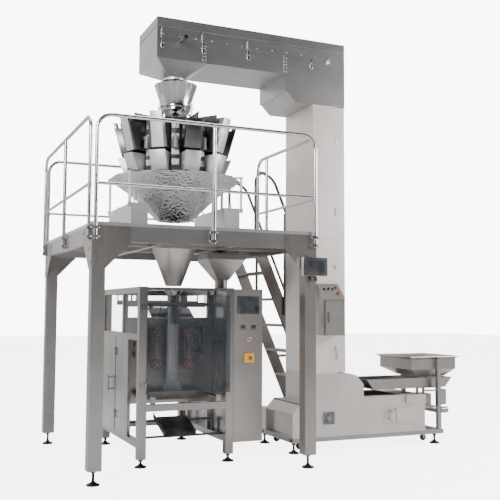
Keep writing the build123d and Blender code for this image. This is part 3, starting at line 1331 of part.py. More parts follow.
# ================================================================ control cabinet
def cabinet_shell():
    """The control cabinet's sheet body, open at the front, on the frame's right side."""
    x0, x1 = CABINET_LEFT, CABINET_RIGHT
    y0 = FORMER_FRONT + DOOR + 1.0
    y1 = y0 + CABINET_DEPTH
    t = CABINET_WALL
    shell = block(x0, x1, y0, y1, CABINET_LOW, CABINET_TOP)
    inside = block(x0 + t, x1 - t, y0 - 1, y1 - t, CABINET_LOW + t, CABINET_TOP - t)
    plate = block(x0 + 25, x1 - 25, y1 - 40, y1 - 36, CABINET_LOW + 60, CABINET_TOP - 60)
    standoffs = [rod((x, y1 - 36, z), (x, y1 - t, z), 6) for x in (x0 + 45, x1 - 45)
                 for z in (CABINET_LOW + 90, CABINET_TOP - 90)]
    rail_items = [block(x0 + 50, x1 - 50, y1 - 110, y1 - 40, z, z + 90) for z in (420, 680, 940, 1220)]
    return group(shell - inside, plate, standoffs, rail_items)


def cabinet_door():
    """The cabinet's front door with its folded edge."""
    x0, x1 = CABINET_LEFT + 2, CABINET_RIGHT
    y0 = FORMER_FRONT
    door = block(x0, x1, y0, y0 + 3, CABINET_LOW, CABINET_TOP)
    fold = hollow(x0 + 6, x1 - 6, y0 + 3, y0 + DOOR, CABINET_LOW + 6, CABINET_TOP - 6, 2.0, "y")
    x = (x0 + x1) / 2
    hole = rod((x + 10, y0 - 5, SELECTOR_Z), (x + 10, y0 + 8, SELECTOR_Z), 8.0 + RUN_CLEARANCE)
    return group(door + fold - hole)


def cabinet_middle():
    """X of the cabinet door's middle."""
    return CABINET_LEFT + 1 + CABINET_WIDTH / 2


def cabinet_screen():
    """Touch screen bezel, two temperature controllers and the stop box on the door."""
    x = cabinet_middle()
    y = FORMER_FRONT
    w = SCREEN_WIDTH / 2
    h = SCREEN_HEIGHT / 2
    bezel = block(x - w, x + w, y - SCREEN_DEPTH, y, SCREEN_MIDDLE - h, SCREEN_MIDDLE + h)
    bezel = bezel - block(x - w + 22, x + w - 22, y - SCREEN_DEPTH - 1, y - SCREEN_DEPTH + 2,
                          SCREEN_MIDDLE - h + 20, SCREEN_MIDDLE + h - 16)
    pieces = [bezel]
    c = CONTROLLER / 2
    for dx in (-56.0, 56.0):
        pieces.append(block(x + dx - c, x + dx + c, y - 5, y, CONTROLLER_Z - c, CONTROLLER_Z + c))
    s = STOP_BOX / 2
    box = block(x - s, x + s, y - STOP_BOX_DEPTH, y, STOP_Z - s, STOP_Z + s)
    box = box - rod((x, y - STOP_BOX_DEPTH - 2, STOP_Z), (x, y - 4, STOP_Z), 9 + RUN_CLEARANCE)
    pieces.append(box)
    pieces.append(block(x + 10 - 19, x + 10 + 19, y - 3, y, SELECTOR_Z - 19, SELECTOR_Z + 19)
                  - rod((x + 10, y - 6, SELECTOR_Z), (x + 10, y + 6, SELECTOR_Z), 8 + RUN_CLEARANCE))
    return group(pieces)


def selector_switch():
    """The rotary selector on the door, with its grip and spindle."""
    x = cabinet_middle() + 10
    y = FORMER_FRONT
    knob = rod((x, y - 3.6, SELECTOR_Z), (x, y - 16, SELECTOR_Z), SELECTOR_R)
    grip = block(x - 4, x + 4, y - 26, y - 16, SELECTOR_Z - 13, SELECTOR_Z + 13)
    spindle = rod((x, y - 3.6, SELECTOR_Z), (x, y + 2.5, SELECTOR_Z), 8.0)
    return group(knob + grip + spindle)


def stop_button():
    """The red mushroom stop button on the yellow box."""
    x = cabinet_middle()
    y = FORMER_FRONT - STOP_BOX_DEPTH
    stem = rod((x, y - 12, STOP_Z), (x, y + 24, STOP_Z), 9.0)
    cap = rod((x, y - 24, STOP_Z), (x, y - 9, STOP_Z), STOP_R)
    return group(stem + cap)


# ================================================================ elevator
def elevator_top_housing():
    """Top run and head corner: a folded sheet housing with an opening over the outlet."""
    y0, y1 = ELEVATOR_FRONT, ELEVATOR_BACK
    lid_low = RUN_TOP - LID_HEIGHT
    outline = [(RUN_X, RUN_Z), (CORNER_LEFT, RUN_Z), (CORNER_LEFT, CORNER_STEP),
               (CORNER_LEFT + 18, CORNER_STEP), (CORNER_LEFT + 118, CORNER_LOW + 8),
               (CORNER_LEFT + 126, CORNER_LOW), (TOWER_RIGHT, CORNER_LOW), (TOWER_RIGHT, lid_low),
               (RUN_X, lid_low)]
    t = SKIN
    inner = [(RUN_X + t, RUN_Z + t), (CORNER_LEFT + t, RUN_Z + t), (CORNER_LEFT + t, CORNER_STEP + t),
             (CORNER_LEFT + 18 + t, CORNER_STEP + t), (CORNER_LEFT + 118 + t, CORNER_LOW + 8 + t),
             (COLUMN_LEFT + t, CORNER_LOW + t), (COLUMN_LEFT + t, CORNER_LOW - 1),
             (TOWER_RIGHT - t, CORNER_LOW - 1), (TOWER_RIGHT - t, lid_low + 1), (RUN_X + t, lid_low + 1)]
    shell = profile_y(outline, y0, y1) - profile_y(inner, y0 + t, y1 - t)
    mouth = block(RUN_X + 40, RUN_X + OUTLET_TOP_W - 30, y0 + 40, y1 - 40, RUN_Z - 5, RUN_Z + 20)
    shell = shell - mouth
    for x, z in ((head_x(), run_shaft_z()), guide_high()):
        shell = shell - rod((x, y0 - 10, z), (x, y1 + 10, z), ELEVATOR_SHAFT_R + 2)
    return group(shell)


def elevator_top_cover():
    """The lift-off lid of the top run, with its lip and the toggle latches."""
    y0, y1 = ELEVATOR_FRONT, ELEVATOR_BACK
    z0 = RUN_TOP - LID_HEIGHT
    t = SKIN
    lid = block(RUN_X, TOWER_RIGHT, y0, y1, z0, RUN_TOP)
    lid = lid - block(RUN_X + t, TOWER_RIGHT - t, y0 + t, y1 - t, z0 - 1, RUN_TOP - t)
    lip = block(RUN_X - LID_LIP, TOWER_RIGHT + LID_LIP, y0 - LID_LIP, y1 + LID_LIP, z0, z0 + t)
    lip = lip - block(RUN_X, TOWER_RIGHT, y0, y1, z0 - 1, z0 + t + 1)
    pieces = [lid + lip]
    for x in latch_places():
        for y, out in ((y0, -1), (y1, 1)):
            body = block(x - 14, x + 14, y, y + out * 16, z0 - 110, z0 - 30)
            claw = block(x - 7, x + 7, y + out * 6, y + out * 12, z0 - 30, z0 - GAP)
            pieces.append(body + claw)
    return group(pieces)


def latch_places():
    """X of the three toggle latches along the lid."""
    span = CORNER_LEFT - RUN_X
    return [RUN_X + 55.0, RUN_X + 0.345 * span, RUN_X + 0.697 * span]


def elevator_column():
    """The rising column: a sheet casing with the side that the long door closes."""
    y0, y1 = ELEVATOR_FRONT, ELEVATOR_BACK
    t = SKIN
    x0, x1 = COLUMN_LEFT, COLUMN_RIGHT
    casing = block(x0, x1, y0, y1, BOOT_TOP, CORNER_LOW)
    inside = block(x0 + t, x1 + 1, y0 + t, y1 - t, BOOT_TOP - 1, CORNER_LOW + 1)
    lips = block(x1 - t, x1, y0, y0 + 25, BOOT_TOP, CORNER_LOW)
    lips = lips + block(x1 - t, x1, y1 - 25, y1, BOOT_TOP, CORNER_LOW)
    casing = casing - inside + lips
    bands = [block(x0 - 2.5, x1 + 2.5, y0 - 2.5, y1 + 2.5, z, z + 14) for z in (2222.0, 3634.0 - 14)]
    cut = block(x0, x1 + 5, y0, y1, BOOT_TOP, CORNER_LOW)
    return group(casing, [band - cut for band in bands])


def column_door():
    """The long door on the column's right side: a folded sheet tray on hinges."""
    y0, y1 = ELEVATOR_FRONT + 4, ELEVATOR_BACK - 4
    x0 = COLUMN_RIGHT + 1.0
    x1 = TOWER_RIGHT - 4
    z0, z1 = BOOT_TOP + 6, CORNER_LOW - 6
    inside = block(x0 - 1, x1 - SKIN, y0 + SKIN, y1 - SKIN, z0 + SKIN, z1 - SKIN)
    chain_way = block(x0 - 1, x1 - 20, y0 + 40, y1 - 40, z0 - 1, z1 + 1)
    tray = block(x0, x1, y0, y1, z0, z1) - inside - chain_way
    pin_x, pin_y = column_door_pin()
    for z in COLUMN_HINGES:
        tray = tray + block(pin_x, x0 + 26, pin_y - 8, ELEVATOR_FRONT - GAP, z + 30.5, z + 54)
        tray = tray + block(x0 + 3, x0 + 26, pin_y - 8, y0, z + 30.5, z + 54)
        tray = tray + rod((pin_x, pin_y, z + 30.5), (pin_x, pin_y, z + 54), 8)
    return group(tray)


def column_door_pin():
    """X and Y of the column door's hinge line."""
    return (COLUMN_RIGHT - 9.0, ELEVATOR_FRONT - 9.0)


def column_fittings():
    """Fixed hinge knuckles and latch bodies of the column door."""
    y0 = ELEVATOR_FRONT
    x = COLUMN_RIGHT
    pin_x, pin_y = column_door_pin()
    pieces = []
    for z in COLUMN_HINGES:
        knuckle = rod((pin_x, pin_y, z - 30), (pin_x, pin_y, z + 30), 8)
        pieces.append(knuckle + block(x - 34, x - 9, y0 - 4, y0, z - 30, z + 30)
                      + block(x - 17, x - 9, y0 - 9, y0, z - 30, z + 30))
    for z in (1066.0, 1922.0):
        pieces.append(block(x - 30, x - 4, y0 - 14, y0, z - 22, z + 22))
    return group(pieces)


def elevator_boot():
    """The boot and feeding trough: one sheet casing with a clean-out opening at its end."""
    y0, y1 = ELEVATOR_FRONT, ELEVATOR_BACK
    t = SKIN
    cut = BOOT_CUT
    outline = [(BOOT_LEFT, BOOT_LOW), (BOOT_LEFT, BOOT_SHOULDER - cut), (BOOT_LEFT + cut, BOOT_SHOULDER),
               (COLUMN_LEFT, BOOT_SHOULDER), (COLUMN_LEFT, BOOT_TOP), (TOWER_RIGHT, BOOT_TOP),
               (TOWER_RIGHT + 125, BOOT_TOP - 28), (BOOT_RIGHT, BOOT_TOP - 126),
               (BOOT_RIGHT, TROUGH_TOP), (TROUGH_RIGHT, TROUGH_TOP), (TROUGH_RIGHT, BOOT_LOW)]
    inner = [(BOOT_LEFT - 1, BOOT_LOW + t), (BOOT_LEFT - 1, BOOT_SHOULDER - cut - 12),
             (BOOT_LEFT + cut - 4, BOOT_SHOULDER - t),
             (COLUMN_LEFT + t, BOOT_SHOULDER - t), (COLUMN_LEFT + t, BOOT_TOP + 1),
             (TOWER_RIGHT - t, BOOT_TOP + 1), (TOWER_RIGHT - t, BOOT_TOP - t),
             (TOWER_RIGHT + 124, BOOT_TOP - 28 - t), (BOOT_RIGHT - t, BOOT_TOP - 129),
             (BOOT_RIGHT - t, TROUGH_TOP - t), (TROUGH_RIGHT - t, TROUGH_TOP - t),
             (TROUGH_RIGHT - t, BOOT_LOW + t)]
    shell = profile_y(outline, y0, y1) - profile_y(inner, y0 + t, y1 - t)
    mouth = block(BOOT_RIGHT + 40, BOOT_RIGHT + TROUGH_MOUTH, y0 + 70, y1 - 70, TROUGH_TOP - 20,
                  TROUGH_TOP + 5)
    shell = shell - mouth
    for x, z in ((guide_low()[0], guide_low()[1]), (tail_x(), trough_shaft_z())):
        for y in (y0, y1):
            shell = shell - rod((x, y - 10, z), (x, y + 10, z), ELEVATOR_SHAFT_R + 2)
    back_box = block(BOOT_LEFT, COLUMN_LEFT, y1, BOOT_END, BOOT_LOW, BOOT_SHOULDER - cut)
    back_box = back_box - block(BOOT_LEFT + t, COLUMN_LEFT - t, y1 - 1, BOOT_END - t, BOOT_LOW + t,
                                BOOT_SHOULDER - cut - t)
    drawer_top = BOOT_SHOULDER - cut - 12
    drawer = block(BOOT_LEFT + 60, BOOT_LEFT + 60 + t, y0 + t, y1 - t, BOOT_LOW + t, drawer_top)
    raised = block(3583.0, TROUGH_RIGHT, y0 - 22, y0, 457.0, TROUGH_TOP)
    cover = block(3445.0, 3711.0, y0 - 26, y0, 257.0, 409.0)
    cover = cover - rod((tail_x(), y0 - 24, trough_shaft_z()), (tail_x(), y0 + 5, trough_shaft_z()),
                        ELEVATOR_SHAFT_R + 2)
    hub = rod((3408.0, y0, 330.0), (3408.0, y0 - 60, 330.0), 62)
    hub = hub - block(3408.0, 3480.0, y0 - 70, y0 + 1, 250.0, 400.0)
    stub = rod((3300.0, y0 - 30, 330.0), (3346.5, y0 - 30, 330.0), 9)
    return group(shell, back_box, drawer, raised, cover, hub + stub)


def elevator_base_frame():
    """Channel frame under the boot, with plates for the casters."""
    y0, y1 = ELEVATOR_FRONT, BOOT_END
    x0, x1 = BOOT_LEFT, FRAME_RIGHT
    z0, z1 = FRAME_LOW, BOOT_LOW
    b = FRAME_BAR
    w = 4.0
    pieces = [hollow(x0, x1, y0, y0 + b, z0, z1, w, "x"), hollow(x0, x1, y1 - b, y1, z0, z1, w, "x")]
    for x in (x0, 2820.0, 3420.0, x1 - b):
        pieces.append(hollow(x, x + b, y0 + b, y1 - b, z0, z1, w, "y"))
    for x, y in elevator_foot_places():
        hole = Pos(x, y, z0) * Cylinder(FOOT_STEM_R, 12)
        pieces = [piece - hole for piece in pieces]
    return group(pieces, caster_forks())


def caster_places():
    """Centres of the four caster wheels: left pair, then right pair."""
    front = ELEVATOR_FRONT + 105.0
    back = BOOT_END - 110.0
    left = BOOT_LEFT + 130.0
    right = FRAME_RIGHT - 205.0
    return [(left, front), (left, back), (right, front), (right, back)]


def caster_forks():
    """Fixed forks of the four casters, on plates across the channels."""
    pieces = []
    top = FRAME_LOW
    half = CASTER_WIDTH / 2 + 3
    for x, y in caster_places():
        low_bar = ELEVATOR_FRONT + FRAME_BAR - 10 if y < AXIS_Y else y - 40
        high_bar = y + 40 if y < AXIS_Y else BOOT_END - FRAME_BAR + 10
        fork = block(x - 40, x + 40, low_bar, high_bar, top - 4, top)
        for s in (-1, 1):
            fork = fork + block(x - 14, x + 14, y + s * half, y + s * (half + 4), CASTER_Z - 12, top - 4)
        axle = rod((x, y - half - 4, CASTER_Z), (x, y + half + 4, CASTER_Z), AXLE_R)
        pieces.append(fork + axle)
    return pieces


def caster_wheels(places):
    """Two caster wheels that turn on one line."""
    half = CASTER_WIDTH / 2
    wheels = []
    for x, y in places:
        wheel = rod((x, y - half, CASTER_Z), (x, y + half, CASTER_Z), CASTER_R, AXLE_R + RUN_CLEARANCE)
        wheels.append(wheel)
    return group(wheels)


def discharge_hopper():
    """The square-to-round hopper under the head, with the rubber ring at its outlet."""
    y0, y1 = ELEVATOR_FRONT, ELEVATOR_BACK
    x0, x1 = RUN_X, RUN_X + OUTLET_TOP_W
    cx = AXIS_X + OUTLET_X
    low = RUN_Z - OUTLET_DROP
    t = SHEET
    top_face = Pos((x0 + x1) / 2, (y0 + y1) / 2, RUN_Z) * Rectangle(x1 - x0, y1 - y0)
    low_face = Pos(cx, AXIS_Y, low) * Circle(OUTLET_R)
    top_in = Pos((x0 + x1) / 2, (y0 + y1) / 2, RUN_Z) * Rectangle(x1 - x0 - 2 * t, y1 - y0 - 2 * t)
    low_in = Pos(cx, AXIS_Y, low) * Circle(OUTLET_R - t)
    shell = loft([low_face, top_face], ruled=True) - loft([low_in, top_in], ruled=True)
    ring = Pos(cx, AXIS_Y, 0) * disc(OUTLET_R + 3, low - OUTLET_RING, low, OUTLET_R - t)
    return group(shell, ring)


def head_x():
    """X of the head shaft."""
    return RUN_X + 250.0


def run_shaft_z():
    """Height of the head shaft in the top run."""
    return RUN_Z + 190.0


def trough_shaft_z():
    """Height of the tail shaft in the trough."""
    return BOOT_LOW + 190.0


def tail_x():
    """X of the tail shaft."""
    return TROUGH_RIGHT - 200.0


def guide_low():
    """Centre of the lower guide sprockets, in the boot."""
    return (COLUMN_LEFT + STRAND_OFFSET, trough_shaft_z())


def guide_high():
    """Centre of the upper guide sprockets, in the head corner."""
    return (COLUMN_LEFT + STRAND_OFFSET, run_shaft_z())


def chain_lines():
    """Y of the two chain strands."""
    return [ELEVATOR_FRONT + CHAIN_INSET, ELEVATOR_BACK - CHAIN_INSET]


def sprocket_shaft(x, z, reach):
    """A pair of sprockets on one shaft that runs out through the casing."""
    y0 = ELEVATOR_FRONT - reach
    y1 = ELEVATOR_BACK + reach
    whole = rod((x, y0, z), (x, y1, z), ELEVATOR_SHAFT_R)
    for y in chain_lines():
        whole = whole + rod((x, y - SPROCKET / 2, z), (x, y + SPROCKET / 2, z), SPROCKET_R)
    return group(whole)


def guide_sprockets():
    """The two fixed-line guide sprocket shafts, in the boot and in the head corner."""
    low = sprocket_shaft(guide_low()[0], guide_low()[1], TAIL_REACH)
    high = sprocket_shaft(guide_high()[0], guide_high()[1], TAIL_REACH)
    return group(low, high)


def bearing(x, z, y, out):
    """A square flange bearing on the casing, bored for its shaft."""
    flange = block(x - 62, x + 62, y, y + out * 16, z - 62, z + 62)
    boss = rod((x, y, z), (x, y + out * 34, z), 40)
    bore = rod((x, y - out * 5, z), (x, y + out * 60, z), ELEVATOR_SHAFT_R + RUN_CLEARANCE)
    bolts = [hex_bolt(x + dx, y + out * 16, z + dz, (0, out, 0), 9, 7) for dx in (-45, 45)
             for dz in (-45, 45)]
    whole = flange + boss - bore
    for bolt in bolts:
        whole = whole + bolt
    return whole


def shaft_bearings():
    """The flange bearings of the head, tail and guide shafts, front and back."""
    places = [(head_x(), run_shaft_z()), guide_high(), guide_low(), (tail_x(), trough_shaft_z())]
    pieces = []
    for x, z in places:
        pieces.append(bearing(x, z, ELEVATOR_BACK, 1))
    pieces.append(bearing(guide_low()[0], guide_low()[1], ELEVATOR_FRONT, -1))
    return group(pieces)


def bucket_chain():
    """The two endless chains with the carrying buckets between them."""
    sr = SPROCKET_R + SEAT
    reach = sr + CHAIN
    hx, hz = head_x(), run_shaft_z()
    gx = guide_low()[0]
    tx, tz = tail_x(), trough_shaft_z()
    pieces = []
    for y in chain_lines():
        y0, y1 = y - CHAIN_DEPTH / 2, y + CHAIN_DEPTH / 2
        pieces.append(block(hx, gx - reach, y0, y1, hz + sr, hz + reach))
        pieces.append(block(hx, gx - reach, y0, y1, hz - reach, hz - sr))
        pieces.append(block(gx + sr, gx + reach, y0, y1, tz + reach, hz))
        pieces.append(block(gx - reach, gx - sr, y0, y1, tz, hz - reach))
        pieces.append(block(gx + reach, tx, y0, y1, tz + sr, tz + reach))
        pieces.append(block(gx, tx, y0, y1, tz - reach, tz - sr))
    inner = chain_lines()[0] + CHAIN_DEPTH / 2
    outer = chain_lines()[1] - CHAIN_DEPTH / 2
    count = int((gx - hx - 2 * reach) / BUCKET_PITCH)
    for index in range(count):
        x = hx + reach + (index + 0.5) * BUCKET_PITCH
        pieces.append(carry_bucket(x, hz + sr + CHAIN / 2, inner, outer))
    rise = int((hz - tz - 4 * reach) / BUCKET_PITCH)
    for index in range(rise):
        z = tz + 2 * reach + (index + 0.5) * BUCKET_PITCH
        pieces.append(carry_bucket(gx + sr + CHAIN / 2, z, inner, outer))
        pieces.append(carry_bucket(gx - sr - CHAIN / 2, z, inner, outer))
    return group(pieces)


def carry_bucket(x, z, y0, y1):
    """One moulded bucket that hangs from a rod between the chains."""
    w, d = 55.0, 58.0
    t = 3.0
    outline = [(x - w, z - 8), (x - w + 18, z - d), (x + w - 18, z - d), (x + w, z - 8)]
    inner = [(x - w + t, z - 7), (x - w + 18 + t, z - d + t), (x + w - 18 - t, z - d + t),
             (x + w - t, z - 7)]
    cup = profile_y(outline, y0 + 30, y1 - 30) - profile_y(inner, y0 + 30 + t, y1 - 30 - t)
    ears = block(x - 9, x + 9, y0 + 30, y0 + 30 + t, z - 10, z + 8)
    ears = ears + block(x - 9, x + 9, y1 - 30 - t, y1 - 30, z - 10, z + 8)
    bar = rod((x, y0, z), (x, y1, z), 5)
    return cup + ears + bar


def drive_motor():
    """The geared motor on the back of the head, hollow-shaft mounted."""
    y = ELEVATOR_BACK + 34 + 4
    x, z = head_x(), run_shaft_z()
    gear = block(x - 75, x + 75, y, y + 110, z - 75, z + 75)
    gear = gear - rod((x, y - 5, z), (x, y + 200, z), ELEVATOR_SHAFT_R + RUN_CLEARANCE)
    motor = rod((x + 75, y + 55, z), (x + 75 + 240, y + 55, z), 62)
    fan = rod((x + 315, y + 55, z), (x + 350, y + 55, z), 66)
    arm = block(x + 90, x + 130, ELEVATOR_BACK, y + 2, z - 20, z + 20)
    return group(gear + motor + fan + arm)


def elevator_control_box():
    """The control box on the column, with its sloping desk and side louvres."""
    x0, x1 = BOX_LEFT, BOX_LEFT + BOX_WIDTH
    y1 = ELEVATOR_FRONT
    y0 = y1 - BOX_DEPTH
    t = 2.0
    outline = [(y0 + BOX_DOOR, BOX_LOW), (y0 + BOX_DOOR, BOX_HIGH), (y0, BOX_HIGH + 4),
               (y1, BOX_HIGH + BOX_SLOPE), (y1, BOX_LOW)]
    inner = [(y0 + BOX_DOOR + t, BOX_LOW + t), (y0 + BOX_DOOR + t, BOX_HIGH),
             (y1 - t, BOX_HIGH + BOX_SLOPE - 8), (y1 - t, BOX_LOW + t)]
    shell = profile_x(outline, x0, x1) - profile_x(inner, x0 + t, x1 - t)
    shell = shell - block(x0 + 28, x1 - 16, y0 + BOX_DOOR - 1, y0 + BOX_DOOR + t + 1, BOX_LOW + 16,
                          BOX_HIGH - 18)
    for index in range(6):
        z = BOX_LOW + 190 + index * 24
        shell = shell + block(x0 - 4, x0, y0 + 60, y1 - 40, z, z + 8)
    for place in desk_places():
        shell = shell - desk_pin(place, 8 + RUN_CLEARANCE, -12, 12)
    return group(shell)


def desk_direction():
    """Outward direction of the sloping desk."""
    rise = BOX_SLOPE - 4.0
    length = hypot(rise, BOX_DEPTH)
    return Vector(0, -rise / length, BOX_DEPTH / length)


def desk_point(u, v):
    """A point on the desk: u along it to the right, v the share of the way up."""
    y = ELEVATOR_FRONT - BOX_DEPTH + v * BOX_DEPTH
    z = BOX_HIGH + 4 + v * (BOX_SLOPE - 4)
    return Vector(BOX_LEFT + u, y, z)


def desk_places():
    """Places of the speed knob and the emergency button on the desk."""
    return [(110.0, 0.66), (205.0, 0.42)]


def desk_pin(place, radius, low, high):
    """A round pin square to the desk, from one height over it to another."""
    point = desk_point(*place)
    out = desk_direction()
    a = point + out * low
    b = point + out * high
    return rod((a.X, a.Y, a.Z), (b.X, b.Y, b.Z), radius)


def speed_knob():
    """The rotary speed knob on the desk."""
    place = desk_places()[0]
    knob = desk_pin(place, BUTTON_R, 1, 20)
    pointer = desk_pin(place, 3, 20, 22)
    return group(knob + pointer + desk_pin(place, 8.0, -6, 1))


def emergency_button():
    """The red emergency button on the desk."""
    place = desk_places()[1]
    return group(desk_pin(place, BUTTON_R + 3, 8, 20) + desk_pin(place, 8.0, -6, 8))


def desk_lamps():
    """Fixed lamps and push buttons on the desk."""
    places = [(60.0, 0.66), (160.0, 0.66), (205.0, 0.75)]
    return group([desk_pin(place, BUTTON_R, -1.5, 9) for place in places])


def control_box_door():
    """The control box's front door with its lever handle."""
    x0, x1 = BOX_LEFT + 20, BOX_LEFT + BOX_WIDTH - 8
    y0 = ELEVATOR_FRONT - BOX_DEPTH
    z0, z1 = BOX_LOW + 8, BOX_HIGH - 10
    door = block(x0, x1, y0, y0 + 3, z0, z1)
    fold = hollow(x0 + 4, x1 - 4, y0 + 3, y0 + BOX_DOOR - SEAT, z0 + 4, z1 - 4, 2.0, "y")
    hx = x0 + 45
    handle = block(hx - 8, hx + 8, y0 - 14, y0, z0 + 130, z0 + 235)
    return group(door + fold + handle)


# ================================================================ feeding
def feed_hopper():
    """The floor-level feed hopper: a rim, upright walls and a sloping base."""
    x0, x1 = HOPPER_LEFT, HOPPER_RIGHT
    half = HOPPER_WIDTH / 2
    y0, y1 = HOPPER_Y - half, HOPPER_Y + half
    t = SHEET
    walls = hollow(x0, x1, y0, y1, HOPPER_WALL_LOW, HOPPER_WALL_TOP, t, "z")
    shoulder = Pos((x0 + x1) / 2, HOPPER_Y, HOPPER_WALL_TOP)
    rim = Pos((x0 + x1) / 2, HOPPER_Y, HOPPER_RIM)
    length = x1 - x0
    flare_low = shoulder * Rectangle(length, 2 * half)
    flare_high = rim * Rectangle(length + 2 * RIM, 2 * half + 2 * RIM)
    flare = loft([flare_low, flare_high], ruled=True)
    hollow_low = shoulder * Rectangle(length - 2 * t, 2 * half - 2 * t)
    hollow_high = rim * Rectangle(length + 2 * RIM - 2 * t, 2 * half + 2 * RIM - 2 * t)
    flare_in = loft([hollow_low, hollow_high], ruled=True)
    cx = x0 + 130 + HOPPER_OUT_LENGTH / 2
    low = Pos(cx, TRAY_Y, HOPPER_OUT) * Rectangle(HOPPER_OUT_LENGTH, HOPPER_OUT_WIDTH)
    low_in = Pos(cx, TRAY_Y, HOPPER_OUT) * Rectangle(HOPPER_OUT_LENGTH - 2 * t, HOPPER_OUT_WIDTH - 2 * t)
    high = Pos((x0 + x1) / 2, HOPPER_Y, HOPPER_WALL_LOW) * Rectangle(x1 - x0, 2 * half)
    high_in = Pos((x0 + x1) / 2, HOPPER_Y, HOPPER_WALL_LOW) * Rectangle(x1 - x0 - 2 * t, 2 * half - 2 * t)
    base = loft([low, high], ruled=True) - loft([low_in, high_in], ruled=True)
    return group(walls + (flare - flare_in) + base)


def hopper_post_x():
    """X of the hopper posts' middle."""
    return HOPPER_LEFT + 340.0


def hopper_frame():
    """Two posts that carry the hopper, their cross bars, and the vibrator on its base."""
    p = HOPPER_POST
    x = hopper_post_x()
    half = HOPPER_WIDTH / 2
    pieces = []
    for y in (HOPPER_Y - half - p, HOPPER_Y + half):
        pieces.append(hollow(x - p / 2, x + p / 2, y, y + p, BOOT_LOW, HOPPER_WALL_TOP - 8, 3.0))
    y0 = HOPPER_Y - half
    y1 = HOPPER_Y + half
    front = y0 - p
    for z in HOPPER_TIES:
        pieces.append(block(TROUGH_RIGHT, x - p / 2, max(front + 14, ELEVATOR_FRONT), front + 34, z, z + 18))
        pieces.append(block(TROUGH_RIGHT, x - p / 2, y1 + 2, y1 + 22, z, z + 18))
    cross = block(x - 20, x + 20, y0, y1, 330.0, 370.0)
    plate = block(TROUGH_RIGHT + 16, x + 130, TRAY_Y - 150, TRAY_Y + 150, 370.0, 380.0)
    magnet = block(TROUGH_RIGHT + 30, x + 60, TRAY_Y - 90, TRAY_Y + 90, 380.0, 520.0)
    springs = []
    for sx in (TROUGH_RIGHT + 40, x + 110):
        for sy in (TRAY_Y - 125, TRAY_Y + 125):
            springs.append(rod((sx, sy, 380.0), (sx, sy, TRAY_LOW - 12 - SEAT), 16))
    panel_box = block(x + p / 2, x + p / 2 + 70, y0 - p + 2, y0 + 60, 420.0, 590.0)
    drum_motor = rod((x + p / 2, y0 - 20, 360.0), (x + p / 2 + 90, y0 - 20, 360.0), 36)
    return group(pieces, cross, plate, magnet, springs, panel_box, drum_motor)


def vibrating_tray():
    """The vibrating tray that feeds the trough: an open pan with sloping ends."""
    half = TRAY_WIDTH / 2
    t = SHEET
    s = TRAY_SLANT
    outline = [(TRAY_LEFT, TRAY_TOP), (TRAY_LEFT + s, TRAY_LOW), (TRAY_RIGHT - s, TRAY_LOW),
               (TRAY_RIGHT, TRAY_TOP)]
    inner = [(TRAY_LEFT + 2 * t, TRAY_TOP + 1), (TRAY_LEFT + s + t, TRAY_LOW + t),
             (TRAY_RIGHT - s - t, TRAY_LOW + t), (TRAY_RIGHT - 2 * t, TRAY_TOP + 1)]
    pan = profile_y(outline, TRAY_Y - half, TRAY_Y + half)
    pan = pan - profile_y(inner, TRAY_Y - half + t, TRAY_Y + half - t)
    drop = block(TRAY_LEFT + s + 10, TRAY_LEFT + s + 200, TRAY_Y - half + 30, TRAY_Y + half - 30,
                 TRAY_LOW - 5, TRAY_LOW + 10)
    keel = block(TROUGH_RIGHT + 20, hopper_post_x() + 135, TRAY_Y - 145, TRAY_Y + 145, TRAY_LOW - 12,
                 TRAY_LOW)
    return group(pan - drop + keel)


# ================================================================ platform operator screen
def leg_screen():
    """The weigher's operator screen: a flat housing with a raised bezel, on a pivot."""
    x = PANEL_CENTRE_X
    w = PANEL_WIDTH / 2
    h = PANEL_HEIGHT / 2
    y0 = PANEL_FRONT
    y1 = PANEL_BACK
    z = PANEL_MIDDLE_Z
    housing = block(x - w, x + w, y0 + 6, y1, z - h, z + h)
    bezel = block(x - w, x + w, y0, y0 + 6, z - h, z + h)
    bezel = bezel - block(x - w + 30, x + w - 22, y0 - 1, y0 + 3, z - h + 30, z + h - 25)
    pin_y, pin_z = screen_pin()
    half = PIVOT_LUG / 2
    lug = rod((x - half, pin_y, pin_z), (x + half, pin_y, pin_z), 14)
    web = block(x - half, x + half, pin_y - 9, pin_y + 9, pin_z, z - h)
    bore = rod((x - half - 5, pin_y, pin_z), (x + half + 5, pin_y, pin_z), PIVOT_R + RUN_CLEARANCE)
    return group(housing + bezel + lug + web - bore)


def screen_pin():
    """Y and Z of the pin the operator screen tilts on."""
    return (PANEL_BACK - 20.0, PANEL_MIDDLE_Z - PANEL_HEIGHT / 2 - 22.0)


def screen_bracket():
    """The bracket on the right leg that carries the operator screen's tilt pin."""
    x = PANEL_CENTRE_X
    pin_y, pin_z = screen_pin()
    face = -DECK_EDGE
    inner = PIVOT_LUG / 2 + GAP
    outer = inner + 8
    low = pin_z - 34
    back = block(x - 34, x + 34, face - 5, face, low - 46, pin_z + 14)
    arm = block(x - outer, x + outer, pin_y - 14, face - 5, low, low + 12)
    cheeks = block(x - outer, x - inner, pin_y - 14, pin_y + 14, low, pin_z + 12)
    cheeks = cheeks + block(x + inner, x + outer, pin_y - 14, pin_y + 14, low, pin_z + 12)
    pin = rod((x - outer - 4, pin_y, pin_z), (x + outer + 4, pin_y, pin_z), PIVOT_R)
    return group(back + arm + cheeks + pin)


